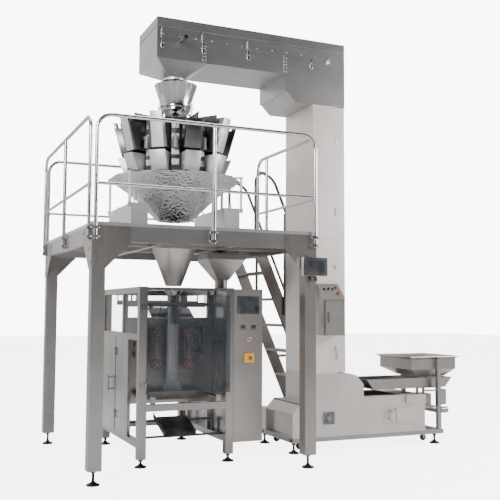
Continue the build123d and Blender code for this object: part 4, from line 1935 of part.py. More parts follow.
# ================================================================ all nodes
NODES = {
    "platform_legs": lambda: group(platform_legs(), corner_gussets(), screen_bracket()),
    "levelling_feet": levelling_feet,
    "deck_frame": deck_frame,
    "deck_plate": deck_plate,
    "guard_rails": guard_rails,
    "stair": stair,
    "stair_handrails": stair_handrails,
    "leg_screen": leg_screen,
    "weigher_base": weigher_base,
    "weigher_drum": lambda: group(drum(), feeder_pans()),
    "collecting_chute": collecting_chute,
    "feed_hoppers": feed_hoppers,
    "weigh_hoppers": weigh_hoppers,
    "top_cone": top_cone,
    "infeed_funnel": infeed_funnel,
    "deck_chutes": lambda: group(discharge_cone(), sweepings_chute()),
    "bagger_frame": lambda: group(bagger_frame(), sealer_post(), unwind_stand()),
    "bagger_panels": lambda: group(bagger_panels(), door_hinges(), side_hinges()),
    "side_window": side_window,
    "side_door": side_door,
    "front_door": front_door,
    "cabinet_shell": cabinet_shell,
    "cabinet_door": cabinet_door,
    "cabinet_controls": cabinet_screen,
    "selector_switch": selector_switch,
    "stop_button": stop_button,
    "forming_tube": forming_tube,
    "forming_collar": forming_collar,
    "film_web": film_web,
    "film_roll": film_roll,
    "outlet_chute": outlet_chute,
    "belt_head_left": lambda: belt_head(-1),
    "belt_head_right": lambda: belt_head(1),
    "pulley_left_upper": lambda: pull_pulley(-1, BELT_UPPER),
    "pulley_left_lower": lambda: pull_pulley(-1, BELT_LOWER),
    "pulley_right_upper": lambda: pull_pulley(1, BELT_UPPER),
    "pulley_right_lower": lambda: pull_pulley(1, BELT_LOWER),
    "vertical_sealer": vertical_sealer,
    "front_jaw": lambda: cross_jaw(-1),
    "rear_jaw": lambda: cross_jaw(1),
    "elevator_top_housing": elevator_top_housing,
    "elevator_top_cover": elevator_top_cover,
    "elevator_column": lambda: group(elevator_column(), column_fittings()),
    "column_door": column_door,
    "elevator_boot": elevator_boot,
    "elevator_base_frame": elevator_base_frame,
    "caster_wheels_left": lambda: caster_wheels(caster_places()[:2]),
    "caster_wheels_right": lambda: caster_wheels(caster_places()[2:]),
    "discharge_hopper": discharge_hopper,
    "head_sprockets": lambda: sprocket_shaft(head_x(), run_shaft_z(), SHAFT_REACH),
    "tail_sprockets": lambda: sprocket_shaft(tail_x(), trough_shaft_z(), TAIL_REACH),
    "bucket_chain": lambda: group(bucket_chain(), guide_sprockets()),
    "drive_motor": lambda: group(drive_motor(), shaft_bearings()),
    "control_box": lambda: group(elevator_control_box(), desk_lamps()),
    "control_box_door": control_box_door,
    "speed_knob": speed_knob,
    "emergency_button": emergency_button,
    "feed_hopper": feed_hopper,
    "hopper_frame": hopper_frame,
    "vibrating_tray": vibrating_tray,
}


def main():
    """Build every sub-part and write it with the line's middle at the origin."""
    os.makedirs("parts", exist_ok=True)
    for name, make in NODES.items():
        shape = Pos(-CENTRE_X, -CENTRE_Y, 0) * group(make())
        export_step(shape, f"parts/{name}.step")


main()
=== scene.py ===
"""Looks of the vertical form fill seal line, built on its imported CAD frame.

Each sub-assembly is a class that models its own visible pieces with edit mode tools and dresses the
CAD nodes that it carries over.  Sizes are in millimetres of the line, which runs along +X from the
platform's front left leg, and are turned into metres of the shared frame by Line.at.
"""

import logging
import math
from dataclasses import dataclass, field
from enum import Enum
from typing import Callable, Iterable, Sequence

import bpy
from mathutils import Matrix, Vector


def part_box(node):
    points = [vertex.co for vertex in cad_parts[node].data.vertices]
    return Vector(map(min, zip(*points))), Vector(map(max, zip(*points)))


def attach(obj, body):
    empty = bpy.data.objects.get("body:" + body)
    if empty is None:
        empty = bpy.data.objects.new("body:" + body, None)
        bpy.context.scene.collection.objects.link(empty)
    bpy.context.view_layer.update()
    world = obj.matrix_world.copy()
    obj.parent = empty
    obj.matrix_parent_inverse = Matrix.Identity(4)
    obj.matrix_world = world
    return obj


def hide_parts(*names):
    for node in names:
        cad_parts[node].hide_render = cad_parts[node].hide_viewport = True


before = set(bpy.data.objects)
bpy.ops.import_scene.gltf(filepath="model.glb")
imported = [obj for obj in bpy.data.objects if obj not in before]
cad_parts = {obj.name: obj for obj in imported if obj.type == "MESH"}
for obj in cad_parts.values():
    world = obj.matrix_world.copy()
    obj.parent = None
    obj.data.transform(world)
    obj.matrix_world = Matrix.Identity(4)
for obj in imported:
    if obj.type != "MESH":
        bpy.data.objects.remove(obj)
LOG = logging.getLogger("packing_line")
ROOT = "line_frame"
MM = 0.001
SAME_RADIUS = 1e-7
MERGE_GAP = 0.000002
CLOUD_SCALE = 2.3
GRAIN_RELIEF = 0.06
GRAIN_HEIGHT = 0.0005
DIMPLE_HEIGHT = 0.008
MOTTLE_SCALE = 9.0
MOULD_HEIGHT = 0.0004
SMEAR_SCALE = 6.0
Point = tuple[float, float, float]
Colour = tuple[float, float, float]


# ------------------------------------------------------------------ where things are
@dataclass(frozen=True)
class Line:
    """The line's own coordinates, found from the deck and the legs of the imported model."""

    platform_width: float = 2019.0
    platform_depth: float = 2197.0
    axis_x: float = 1009.5
    axis_y: float = 975.0
    deck: float = 2200.0

    def origin(self) -> Vector:
        """The platform's front left leg on the floor, in metres of the frame."""
        low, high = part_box("deck_plate")
        middle = (low + high) / 2
        return Vector((middle.x - self.platform_width / 2 * MM, middle.y - self.platform_depth / 2 * MM, 0.0))

    def at(self, x: float, y: float, z: float) -> Vector:
        """A point of the line, in metres of the frame.

        Args:
            x: Distance right, in millimetres.
            y: Distance back, in millimetres.
            z: Height, in millimetres.

        Returns:
            The same point in the shared frame.
        """
        return self.origin() + Vector((x, y, z)) * MM


LINE = Line()


# ------------------------------------------------------------------ modelling tools
def clear_selection() -> None:
    """Leaves edit mode and deselects everything."""
    if bpy.context.object and bpy.context.object.mode != "OBJECT":
        bpy.ops.object.mode_set(mode="OBJECT")
    bpy.ops.object.select_all(action="DESELECT")


def activate(obj: bpy.types.Object) -> None:
    """Selects one object alone and makes it the active one."""
    clear_selection()
    obj.select_set(True)
    bpy.context.view_layer.objects.active = obj


def settle(obj: bpy.types.Object) -> bpy.types.Object:
    """Puts an object's place, turn and size into its mesh."""
    activate(obj)
    bpy.ops.object.transform_apply(location=True, rotation=True, scale=True)
    return obj


def edit(obj: bpy.types.Object, select: str = "SELECT") -> None:
    """Opens an object in edit mode with all or nothing selected.

    Args:
        obj: The object to open.
        select: SELECT for all of it, DESELECT for nothing.
    """
    activate(obj)
    bpy.ops.object.mode_set(mode="EDIT")
    bpy.ops.mesh.select_mode(type="FACE")
    bpy.ops.mesh.select_all(action=select)


def pick_faces(obj: bpy.types.Object, rule: Callable[[bpy.types.MeshPolygon], bool]) -> None:
    """Selects the faces that a rule accepts and returns to edit mode.

    Args:
        obj: The object to select in.
        rule: Tells of one face whether it is wanted.
    """
    activate(obj)
    bpy.ops.object.mode_set(mode="EDIT")
    bpy.ops.mesh.select_mode(type="FACE")
    bpy.ops.mesh.select_all(action="DESELECT")
    bpy.ops.object.mode_set(mode="OBJECT")
    for face in obj.data.polygons:
        face.select = rule(face)
    bpy.ops.object.mode_set(mode="EDIT")


def facing(direction: Point, limit: float = 0.9) -> Callable[[bpy.types.MeshPolygon], bool]:
    """A rule for pick_faces that wants the faces which look in a direction."""
    wanted = Vector(direction).normalized()
    return lambda face: face.normal.dot(wanted) > limit


def slab(name: str, low: Vector, high: Vector, edge: float = 0.0, segments: int = 2) -> bpy.types.Object:
    """A block between two corners with rounded edges.

    Args:
        name: The piece's name.
        low: Lowest corner in metres.
        high: Highest corner in metres.
        edge: Radius of the edges in metres.
        segments: Steps in each edge.

    Returns:
        The new object, at the origin with its place in its mesh.
    """
    clear_selection()
    bpy.ops.mesh.primitive_cube_add(size=1, location=(low + high) / 2)
    obj = bpy.context.object
    obj.name = name
    obj.scale = [abs(b - a) for a, b in zip(low, high)]
    settle(obj)
    if edge:
        edit(obj)
        bpy.ops.mesh.bevel(offset=edge, segments=segments, affect="EDGES")
    clear_selection()
    return obj


def recess(obj: bpy.types.Object, direction: Point, margin: float, depth: float) -> None:
    """Sinks the face that looks in a direction, leaving a rim round it.

    Args:
        obj: The object to shape.
        direction: The way the face looks.
        margin: Width of the rim in metres.
        depth: How far the middle goes in; less than zero raises it.
    """
    largest = max((f.area for f in obj.data.polygons if facing(direction)(f)), default=0.0)
    pick_faces(obj, lambda face: facing(direction)(face) and face.area > 0.5 * largest)
    bpy.ops.mesh.inset(thickness=margin)
    step = Vector(direction).normalized() * -depth
    bpy.ops.mesh.extrude_region_move(TRANSFORM_OT_translate={"value": step})
    clear_selection()


def turned(name: str, rings: Sequence[tuple[float, float]], start: Vector, way: Point,
           sides: int = 24) -> bpy.types.Object:
    """A turned piece: a disc that is extruded and resized ring by ring.

    Args:
        name: The piece's name.
        rings: Radius and distance along the way of each ring, in metres.
        start: Where the distances are counted from.
        way: Direction of the piece's axis.
        sides: Faces round the piece.

    Returns:
        The new object, at the origin with its place in its mesh.
    """
    clear_selection()
    first_r, first_z = rings[0]
    bpy.ops.mesh.primitive_circle_add(vertices=sides, radius=first_r, fill_type="NGON",
                                      location=(0, 0, first_z))
    obj = bpy.context.object
    obj.name = name
    settle(obj)
    edit(obj)
    radius, height = first_r, first_z
    for next_r, next_z in rings[1:]:
        bpy.ops.mesh.extrude_region_move(TRANSFORM_OT_translate={"value": (0, 0, next_z - height)})
        if abs(next_r - radius) > SAME_RADIUS:
            share = next_r / radius
            bpy.ops.transform.resize(value=(share, share, 1.0))
        radius, height = next_r, next_z
    clear_selection()
    obj.rotation_mode = "QUATERNION"
    obj.rotation_quaternion = Vector((0, 0, 1)).rotation_difference(Vector(way))
    obj.location = start
    return settle(obj)


def copies(obj: bpy.types.Object, moves: Iterable[Matrix], name: str) -> bpy.types.Object:
    """Copies of one modelled piece, each with its own mesh, joined into one object.

    Args:
        obj: The piece to copy; it is used up.
        moves: Where each copy goes.
        name: The joined object's name.

    Returns:
        The joined object.
    """
    made = []
    for move in moves:
        twin = obj.copy()
        twin.data = obj.data.copy()
        twin.data.transform(move)
        bpy.context.collection.objects.link(twin)
        made.append(twin)
    bpy.data.objects.remove(obj)
    return joined(made, name)


def in_metres(rings: Sequence[tuple[float, float]]) -> list[tuple[float, float]]:
    """Rings given in millimetres, in metres."""
    return [(radius * MM, distance * MM) for radius, distance in rings]


def joined(parts: Sequence[bpy.types.Object], name: str) -> bpy.types.Object:
    """Several pieces joined into one object with their materials kept.

    Args:
        parts: The pieces, which are used up.
        name: The joined object's name.

    Returns:
        The joined object.
    """
    clear_selection()
    for part in parts:
        part.select_set(True)
    bpy.context.view_layer.objects.active = parts[0]
    if len(parts) > 1:
        bpy.ops.object.join()
    parts[0].name = name
    clear_selection()
    return parts[0]


def bent_tube(name: str, points: Sequence[Vector], radius: float, sides: int = 3) -> bpy.types.Object:
    """A round hose or wire through points, made into a mesh.

    Args:
        name: The piece's name.
        points: What it bends round, in metres.
        radius: Half its thickness in metres.
        sides: Steps in each quarter of its round.

    Returns:
        The new mesh object.
    """
    curve = bpy.data.curves.new(name, "CURVE")
    curve.dimensions = "3D"
    spline = curve.splines.new("NURBS")
    spline.points.add(len(points) - 1)
    for spot, point in zip(spline.points, points):
        spot.co = (*point, 1.0)
    spline.order_u = 3
    spline.use_endpoint_u = True
    spline.resolution_u = 6
    curve.bevel_depth = radius
    curve.bevel_resolution = sides
    curve.use_fill_caps = True
    obj = bpy.data.objects.new(name, curve)
    bpy.context.collection.objects.link(obj)
    activate(obj)
    bpy.ops.object.convert(target="MESH")
    return bpy.context.object


def finished(obj: bpy.types.Object, look: bpy.types.Material, body: str,
             stands_for: Sequence[str] = (), smooth: float = 35.0) -> bpy.types.Object:
    """Gives a piece its material, smooth shading and body.

    Args:
        obj: The piece.
        look: Its material, or None where its parts have their own.
        body: The CAD body that it moves with.
        stands_for: CAD nodes that it replaces.
        smooth: Faces that meet at less than this angle are shaded as one.

    Returns:
        The same piece.
    """
    edit(obj)
    bpy.ops.mesh.remove_doubles(threshold=MERGE_GAP)
    bpy.ops.mesh.select_all(action="SELECT")
    bpy.ops.mesh.normals_make_consistent(inside=False)
    activate(obj)
    bpy.ops.object.shade_smooth_by_angle(angle=math.radians(smooth))
    if look is not None:
        obj.data.materials.clear()
        obj.data.materials.append(look)
    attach(obj, body)
    if stands_for:
        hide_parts(*stands_for)
    LOG.info("piece %s rides on %s", obj.name, body)
    return obj


def coat(obj: bpy.types.Object, look: bpy.types.Material) -> bpy.types.Object:
    """Gives one part its material before it is joined with others."""
    obj.data.materials.clear()
    obj.data.materials.append(look)
    return obj


# ------------------------------------------------------------------ finishes
class Grain(Enum):
    """Which way a steel surface's fine lines run."""

    ALONG_X = (2.0, 260.0, 260.0)
    ALONG_Y = (260.0, 2.0, 260.0)
    ALONG_Z = (260.0, 260.0, 2.0)
    NONE = (60.0, 60.0, 60.0)


@dataclass(frozen=True)
class Steel:
    """Rolled, brushed, dimpled or polished stainless steel."""

    name: str
    colour: Colour
    rough: float
    grain: Grain = Grain.ALONG_Z
    lines: float = 0.10
    clouds: float = 0.10
    dimple: float = 0.0
    pitch: float = 0.011

    def build(self) -> bpy.types.Material:
        """The steel's material: grain lines, uneven patches and, where asked for, dimples."""
        material, nodes, links, shader, place = new_material(self.name)
        shader.inputs["Metallic"].default_value = 1.0
        shader.inputs["Specular IOR Level"].default_value = 0.5
        scaled = nodes.new("ShaderNodeMapping")
        scaled.inputs["Scale"].default_value = self.grain.value
        links.new(place, scaled.inputs["Vector"])
        fine = noise(nodes, links, scaled.outputs["Vector"], 1.0, 3.0)
        broad = noise(nodes, links, place, CLOUD_SCALE, 2.0)
        tint = mix_colours(nodes, links, broad, darker(self.colour, self.clouds), lighter(self.colour, self.clouds))
        lined = nodes.new("ShaderNodeMix")
        lined.data_type = "RGBA"
        lined.blend_type = "MULTIPLY"
        lined.inputs["Factor"].default_value = self.lines
        links.new(tint, lined.inputs["A"])
        links.new(fine, lined.inputs["B"])
        links.new(lined.outputs["Result"], shader.inputs["Base Color"])
        span(nodes, links, fine, shader.inputs["Roughness"], self.rough * 0.8, self.rough * 1.25)
        bump = nodes.new("ShaderNodeBump")
        bump.inputs["Strength"].default_value = GRAIN_RELIEF
        bump.inputs["Distance"].default_value = GRAIN_HEIGHT
        links.new(fine, bump.inputs["Height"])
        last = bump
        if self.dimple:
            cells = nodes.new("ShaderNodeTexVoronoi")
            cells.inputs["Scale"].default_value = 1.0 / self.pitch
            links.new(place, cells.inputs["Vector"])
            second = nodes.new("ShaderNodeBump")
            second.inputs["Strength"].default_value = self.dimple
            second.inputs["Distance"].default_value = DIMPLE_HEIGHT
            links.new(cells.outputs["Distance"], second.inputs["Height"])
            links.new(bump.outputs["Normal"], second.inputs["Normal"])
            last = second
        links.new(last.outputs["Normal"], shader.inputs["Normal"])
        return material


@dataclass(frozen=True)
class Moulded:
    """Plastic, rubber or paint with a slightly uneven face."""

    name: str
    colour: Colour
    rough: float
    mottle: float = 0.12
    scale: float = 180.0
    relief: float = 0.15
    coat: float = 0.0

    def build(self) -> bpy.types.Material:
        """The material: mottled colour, uneven gloss and a fine moulded texture."""
        material, nodes, links, shader, place = new_material(self.name)
        grit = noise(nodes, links, place, self.scale, 3.0)
        broad = noise(nodes, links, place, MOTTLE_SCALE, 2.0)
        tint = mix_colours(nodes, links, broad, darker(self.colour, self.mottle), lighter(self.colour, self.mottle))
        links.new(tint, shader.inputs["Base Color"])
        span(nodes, links, broad, shader.inputs["Roughness"], self.rough * 0.85, min(1.0, self.rough * 1.15))
        shader.inputs["Coat Weight"].default_value = self.coat
        bump = nodes.new("ShaderNodeBump")
        bump.inputs["Strength"].default_value = self.relief
        bump.inputs["Distance"].default_value = MOULD_HEIGHT
        links.new(grit, bump.inputs["Height"])
        links.new(bump.outputs["Normal"], shader.inputs["Normal"])
        return material


@dataclass(frozen=True)
class Clear:
    """See-through sheet: clear doors and windows, and the film."""

    name: str
    colour: Colour
    alpha: float
    rough: float = 0.06

    def build(self) -> bpy.types.Material:
        """The material: nearly clear, with faint smears in its gloss."""
        material, nodes, links, shader, place = new_material(self.name)
        smear = noise(nodes, links, place, SMEAR_SCALE, 4.0)
        span(nodes, links, smear, shader.inputs["Roughness"], self.rough * 0.6, self.rough * 1.8)
        tint = mix_colours(nodes, links, smear, darker(self.colour, 0.04), self.colour)
        links.new(tint, shader.inputs["Base Color"])
        shader.inputs["Alpha"].default_value = self.alpha
        shader.inputs["IOR"].default_value = 1.49
        return material


def new_material(name: str) -> tuple:
    """A bare material with its shader and Object coordinates.

    Args:
        name: The finish's name.

    Returns:
        The material, its nodes, its links, the shader node and the coordinate socket.
    """
    material = bpy.data.materials.new(name)
    material.use_nodes = True
    nodes = material.node_tree.nodes
    links = material.node_tree.links
    shader = next(node for node in nodes if node.type == "BSDF_PRINCIPLED")
    place = nodes.new("ShaderNodeTexCoord").outputs["Object"]
    return material, nodes, links, shader, place


def noise(nodes: bpy.types.Nodes, links: bpy.types.NodeLinks, place: bpy.types.NodeSocket,
          scale: float, detail: float) -> bpy.types.NodeSocket:
    """A noise texture.

    Args:
        nodes: The material's nodes.
        links: The material's links.
        place: The coordinates that it follows.
        scale: How many blots go in a metre.
        detail: How many finer layers it has.

    Returns:
        Its value socket.
    """
    texture = nodes.new("ShaderNodeTexNoise")
    texture.inputs["Scale"].default_value = scale
    texture.inputs["Detail"].default_value = detail
    links.new(place, texture.inputs["Vector"])
    return texture.outputs["Fac"]


def mix_colours(nodes: bpy.types.Nodes, links: bpy.types.NodeLinks, amount: bpy.types.NodeSocket,
                low: Colour, high: Colour) -> bpy.types.NodeSocket:
    """A colour that goes from low to high with an amount.

    Args:
        nodes: The material's nodes.
        links: The material's links.
        amount: The amount, from 0 to 1.
        low: Colour where the amount is small.
        high: Colour where the amount is large.

    Returns:
        The colour socket.
    """
    ramp = nodes.new("ShaderNodeValToRGB")
    ramp.color_ramp.elements[0].position = 0.30
    ramp.color_ramp.elements[1].position = 0.70
    ramp.color_ramp.elements[0].color = (*low, 1.0)
    ramp.color_ramp.elements[1].color = (*high, 1.0)
    links.new(amount, ramp.inputs["Fac"])
    return ramp.outputs["Color"]


def span(nodes: bpy.types.Nodes, links: bpy.types.NodeLinks, amount: bpy.types.NodeSocket,
         target: bpy.types.NodeSocket, low: float, high: float) -> None:
    """Feeds a socket with an amount stretched between two values.

    Args:
        nodes: The material's nodes.
        links: The material's links.
        amount: The amount, from 0 to 1.
        target: The socket that is fed.
        low: Its value where the amount is 0.
        high: Its value where the amount is 1.
    """
    stretch = nodes.new("ShaderNodeMapRange")
    stretch.inputs["To Min"].default_value = low
    stretch.inputs["To Max"].default_value = high
    links.new(amount, stretch.inputs["Value"])
    links.new(stretch.outputs["Result"], target)


def darker(colour: Colour, share: float) -> Colour:
    """The colour with a share of its light taken away."""
    return tuple(c * (1.0 - share) for c in colour)


def lighter(colour: Colour, share: float) -> Colour:
    """The colour with a share of the way to white added."""
    return tuple(c + (1.0 - c) * share * 0.5 for c in colour)


@dataclass
class Palette:
    """Every finish of the line, built once."""

    looks: dict[str, bpy.types.Material] = field(default_factory=dict)

    def build(self) -> None:
        """Builds each finish's material."""
        recipes = [
            Steel("leg_steel", (0.44, 0.415, 0.40), 0.36, Grain.ALONG_Z, 0.25, 0.10),
            Steel("beam_steel", (0.52, 0.50, 0.49), 0.36, Grain.ALONG_X, 0.20, 0.08),
            Steel("deck_steel", (0.80, 0.79, 0.78), 0.38, Grain.ALONG_X, 0.12, 0.06),
            Steel("rail_steel", (0.72, 0.71, 0.70), 0.20, Grain.NONE, 0.06, 0.05),
            Steel("stair_steel", (0.24, 0.22, 0.21), 0.36, Grain.ALONG_Z, 0.20, 0.10),
            Steel("handrail_steel", (0.16, 0.155, 0.15), 0.30, Grain.NONE, 0.10, 0.06),
            Steel("bright_sheet", (0.84, 0.84, 0.85), 0.46, Grain.ALONG_Z, 0.10, 0.06),
            Steel("dimpled_sheet", (0.80, 0.80, 0.82), 0.14, Grain.NONE, 0.06, 0.20, 1.0, 0.026),
            Steel("polished_sheet", (0.60, 0.60, 0.60), 0.14, Grain.ALONG_Z, 0.05, 0.08),
            Steel("former_steel", (0.42, 0.40, 0.385), 0.30, Grain.ALONG_Z, 0.16, 0.08),
            Steel("side_sheet", (0.40, 0.39, 0.38), 0.26, Grain.ALONG_Z, 0.14, 0.18),
            Steel("cabinet_sheet", (0.48, 0.445, 0.42), 0.36, Grain.ALONG_X, 0.16, 0.10),
            Steel("run_sheet", (0.60, 0.585, 0.58), 0.38, Grain.ALONG_X, 0.16, 0.12),
            # Column steel raised to a warm near white: partly its own pale steel, partly painted sheen for the
            # brightly lit front.
            Steel("column_steel_painted_sheen", (0.95, 0.88, 0.84), 0.50, Grain.ALONG_Z, 0.10, 0.10),
            Steel("boot_sheet", (0.76, 0.71, 0.68), 0.46, Grain.ALONG_X, 0.16, 0.12),
            Steel("hopper_sheet", (0.46, 0.43, 0.41), 0.34, Grain.ALONG_X, 0.18, 0.14),
            # Dark drum steel; on the upper ring of buckets it is painted shade.
            Steel("drum_sheet_and_painted_bucket_shade", (0.14, 0.14, 0.145), 0.30, Grain.NONE, 0.10, 0.25),
            Steel("jaw_plate", (0.30, 0.27, 0.25), 0.30, Grain.ALONG_X, 0.20, 0.15),
            Steel("foot_steel", (0.05, 0.05, 0.052), 0.38, Grain.NONE, 0.10, 0.12),
            Steel("dark_steel", (0.10, 0.10, 0.11), 0.35, Grain.NONE, 0.10, 0.12),
            Steel("cast_alloy", (0.55, 0.55, 0.55), 0.45, Grain.NONE, 0.08, 0.10),
            Moulded("black_plastic", (0.018, 0.018, 0.020), 0.42),
            Moulded("black_rubber", (0.022, 0.022, 0.022), 0.75, 0.2, 90.0, 0.3),
            Moulded("grey_plastic", (0.30, 0.30, 0.31), 0.45),
            Moulded("white_plastic", (0.82, 0.82, 0.80), 0.40),
            Moulded("red_plastic", (0.62, 0.02, 0.02), 0.28, coat=0.4),
            Moulded("yellow_plastic", (0.80, 0.50, 0.03), 0.35),
            Moulded("belt_rubber", (0.26, 0.012, 0.012), 0.62, 0.2, 140.0, 0.3),
            Moulded("motor_paint", (0.16, 0.17, 0.19), 0.38, 0.15, 240.0, 0.3, 0.2),
            Moulded("film_reel", (0.80, 0.80, 0.78), 0.35, 0.05, 420.0, 0.2),
            Moulded("screen_glass", (0.010, 0.014, 0.022), 0.30, 0.1, 40.0, 0.02, 0.1),
            Moulded("display_glass", (0.02, 0.04, 0.035), 0.28, 0.1, 40.0, 0.02, 0.1),
            Clear("clear_door", (0.05, 0.06, 0.07), 0.30),
            Clear("clear_side", (0.12, 0.13, 0.14), 0.26),
            Clear("clear_film", (0.90, 0.91, 0.92), 0.26, 0.14),
            Clear("beacon_lens", (0.92, 0.85, 0.45), 0.85, 0.2),
        ]
        for recipe in recipes:
            self.looks[recipe.name] = recipe.build()

    def __getitem__(self, name: str) -> bpy.types.Material:
        """One finish's material."""
        return self.looks[name]


def dress(palette: Palette, looks: dict[str, str]) -> None:
    """Gives carried-over CAD nodes their finishes.

    Args:
        palette: The line's finishes.
        looks: Finish name of each node.
    """
    for node, look in looks.items():
        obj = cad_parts[node]
        obj.data.materials.clear()
        obj.data.materials.append(palette[look])


# ------------------------------------------------------------------ studio
@dataclass
class Studio:
    """Pale floor, soft light and the camera."""

    eye: Point = (-1506.8, -6538.2, 1457.35)
    yaw: float = 0.4051
    pitch: float = 0.0777
    roll: float = 0.0052
    lens: float = 56.15
    shift: tuple[float, float] = (0.0245, -0.001)
    room_dark: Colour = (0.030, 0.030, 0.032)
    room_light: Colour = (1.5, 1.5, 1.5)
    room_power: float = 0.72
    backdrop_power: float = 9.0
    floor_glow: float = 5.0

    def build(self) -> None:
        """Sets up the floor, the lights and the camera."""
        self.floor()
        self.lights()
        self.camera()

    def camera(self) -> None:
        """Places the camera at a standing person's eye level, in front and to the left."""
        yaw, pitch, roll = self.yaw, self.pitch, self.roll
        ahead = Vector((math.sin(yaw) * math.cos(pitch), math.cos(yaw) * math.cos(pitch), math.sin(pitch)))
        right = Vector((math.cos(yaw), -math.sin(yaw), 0.0))
        up = right.cross(ahead)
        side = right * math.cos(roll) + up * math.sin(roll)
        top = up * math.cos(roll) - right * math.sin(roll)
        data = bpy.data.cameras.new("eye")
        data.sensor_width = 36.0
        data.lens = self.lens
        data.shift_x, data.shift_y = self.shift
        data.clip_start, data.clip_end = 0.1, 100.0
        camera = bpy.data.objects.new("eye", data)
        bpy.context.collection.objects.link(camera)
        turn = Matrix((side, top, -ahead)).transposed().to_4x4()
        camera.matrix_world = Matrix.Translation(LINE.at(*self.eye)) @ turn
        bpy.context.scene.camera = camera

    def floor(self) -> None:
        """A wide pale floor plane that reaches behind the line."""
        clear_selection()
        bpy.ops.mesh.primitive_plane_add(size=60.0, location=(0.0, 6.0, 0.0))
        plane = bpy.context.object
        plane.name = "studio_floor"
        settle(plane)
        material, nodes, links, shader, place = new_material("pale_floor")
        tone = noise(nodes, links, place, 0.6, 1.0)
        pale = mix_colours(nodes, links, tone, (0.93, 0.93, 0.93), (0.95, 0.95, 0.95))
        links.new(pale, shader.inputs["Base Color"])
        shader.inputs["Roughness"].default_value = 0.9
        shader.inputs["Emission Color"].default_value = (1.0, 1.0, 1.0, 1.0)
        seen = nodes.new("ShaderNodeLightPath").outputs["Is Camera Ray"]
        span(nodes, links, seen, shader.inputs["Emission Strength"], 0.0, self.floor_glow)
        plane.data.materials.append(material)

    def lights(self) -> None:
        """A bright surround, a large key from the left front and fills right and above."""
        world = bpy.data.worlds.new("studio")
        bpy.context.scene.world = world
        world.use_nodes = True
        nodes, links = world.node_tree.nodes, world.node_tree.links
        shade = nodes["Background"]
        way = nodes.new("ShaderNodeSeparateXYZ")
        links.new(nodes.new("ShaderNodeTexCoord").outputs["Generated"], way.inputs["Vector"])
        depth = nodes.new("ShaderNodeMapRange")
        depth.inputs["From Min"].default_value = -0.75
        depth.inputs["From Max"].default_value = 0.35
        links.new(way.outputs["Y"], depth.inputs["Value"])
        ramp = nodes.new("ShaderNodeValToRGB")
        ramp.color_ramp.elements[0].color = (*self.room_dark, 1.0)
        ramp.color_ramp.elements[1].color = (*self.room_light, 1.0)
        links.new(depth.outputs["Result"], ramp.inputs["Fac"])
        plain = nodes.new("ShaderNodeMix")
        plain.data_type = "RGBA"
        plain.inputs["B"].default_value = (1.0, 1.0, 1.0, 1.0)
        links.new(ramp.outputs["Color"], plain.inputs["A"])
        links.new(plain.outputs["Result"], shade.inputs["Color"])
        seen = nodes.new("ShaderNodeLightPath").outputs["Is Camera Ray"]
        span(nodes, links, seen, shade.inputs["Strength"], self.room_power, self.backdrop_power)
        links.new(seen, plain.inputs["Factor"])
        self.lamp("key", (-4200.0, -5200.0, 5600.0), (900.0, 900.0, 1800.0), 2.6, 620.0)
        self.lamp("fill", (7600.0, -2600.0, 3800.0), (1800.0, 900.0, 1500.0), 2.4, 260.0)
        self.lamp("top", (1500.0, 1200.0, 8200.0), (1500.0, 1000.0, 0.0), 4.0, 260.0)

    def lamp(self, name: str, spot: Point, aim: Point, size: float, power: float) -> None:
        """One square soft light.

        Args:
            name: The light's name.
            spot: Where it stands, in line millimetres.
            aim: What it points at, in line millimetres.
            size: Side of the square in metres.
            power: Watts.
        """
        data = bpy.data.lights.new(name, "AREA")
        data.size = size
        data.energy = power
        obj = bpy.data.objects.new(name, data)
        bpy.context.collection.objects.link(obj)
        obj.location = LINE.at(*spot)
        way = LINE.at(*aim) - LINE.at(*spot)
        obj.rotation_euler = way.to_track_quat("-Z", "Y").to_euler()


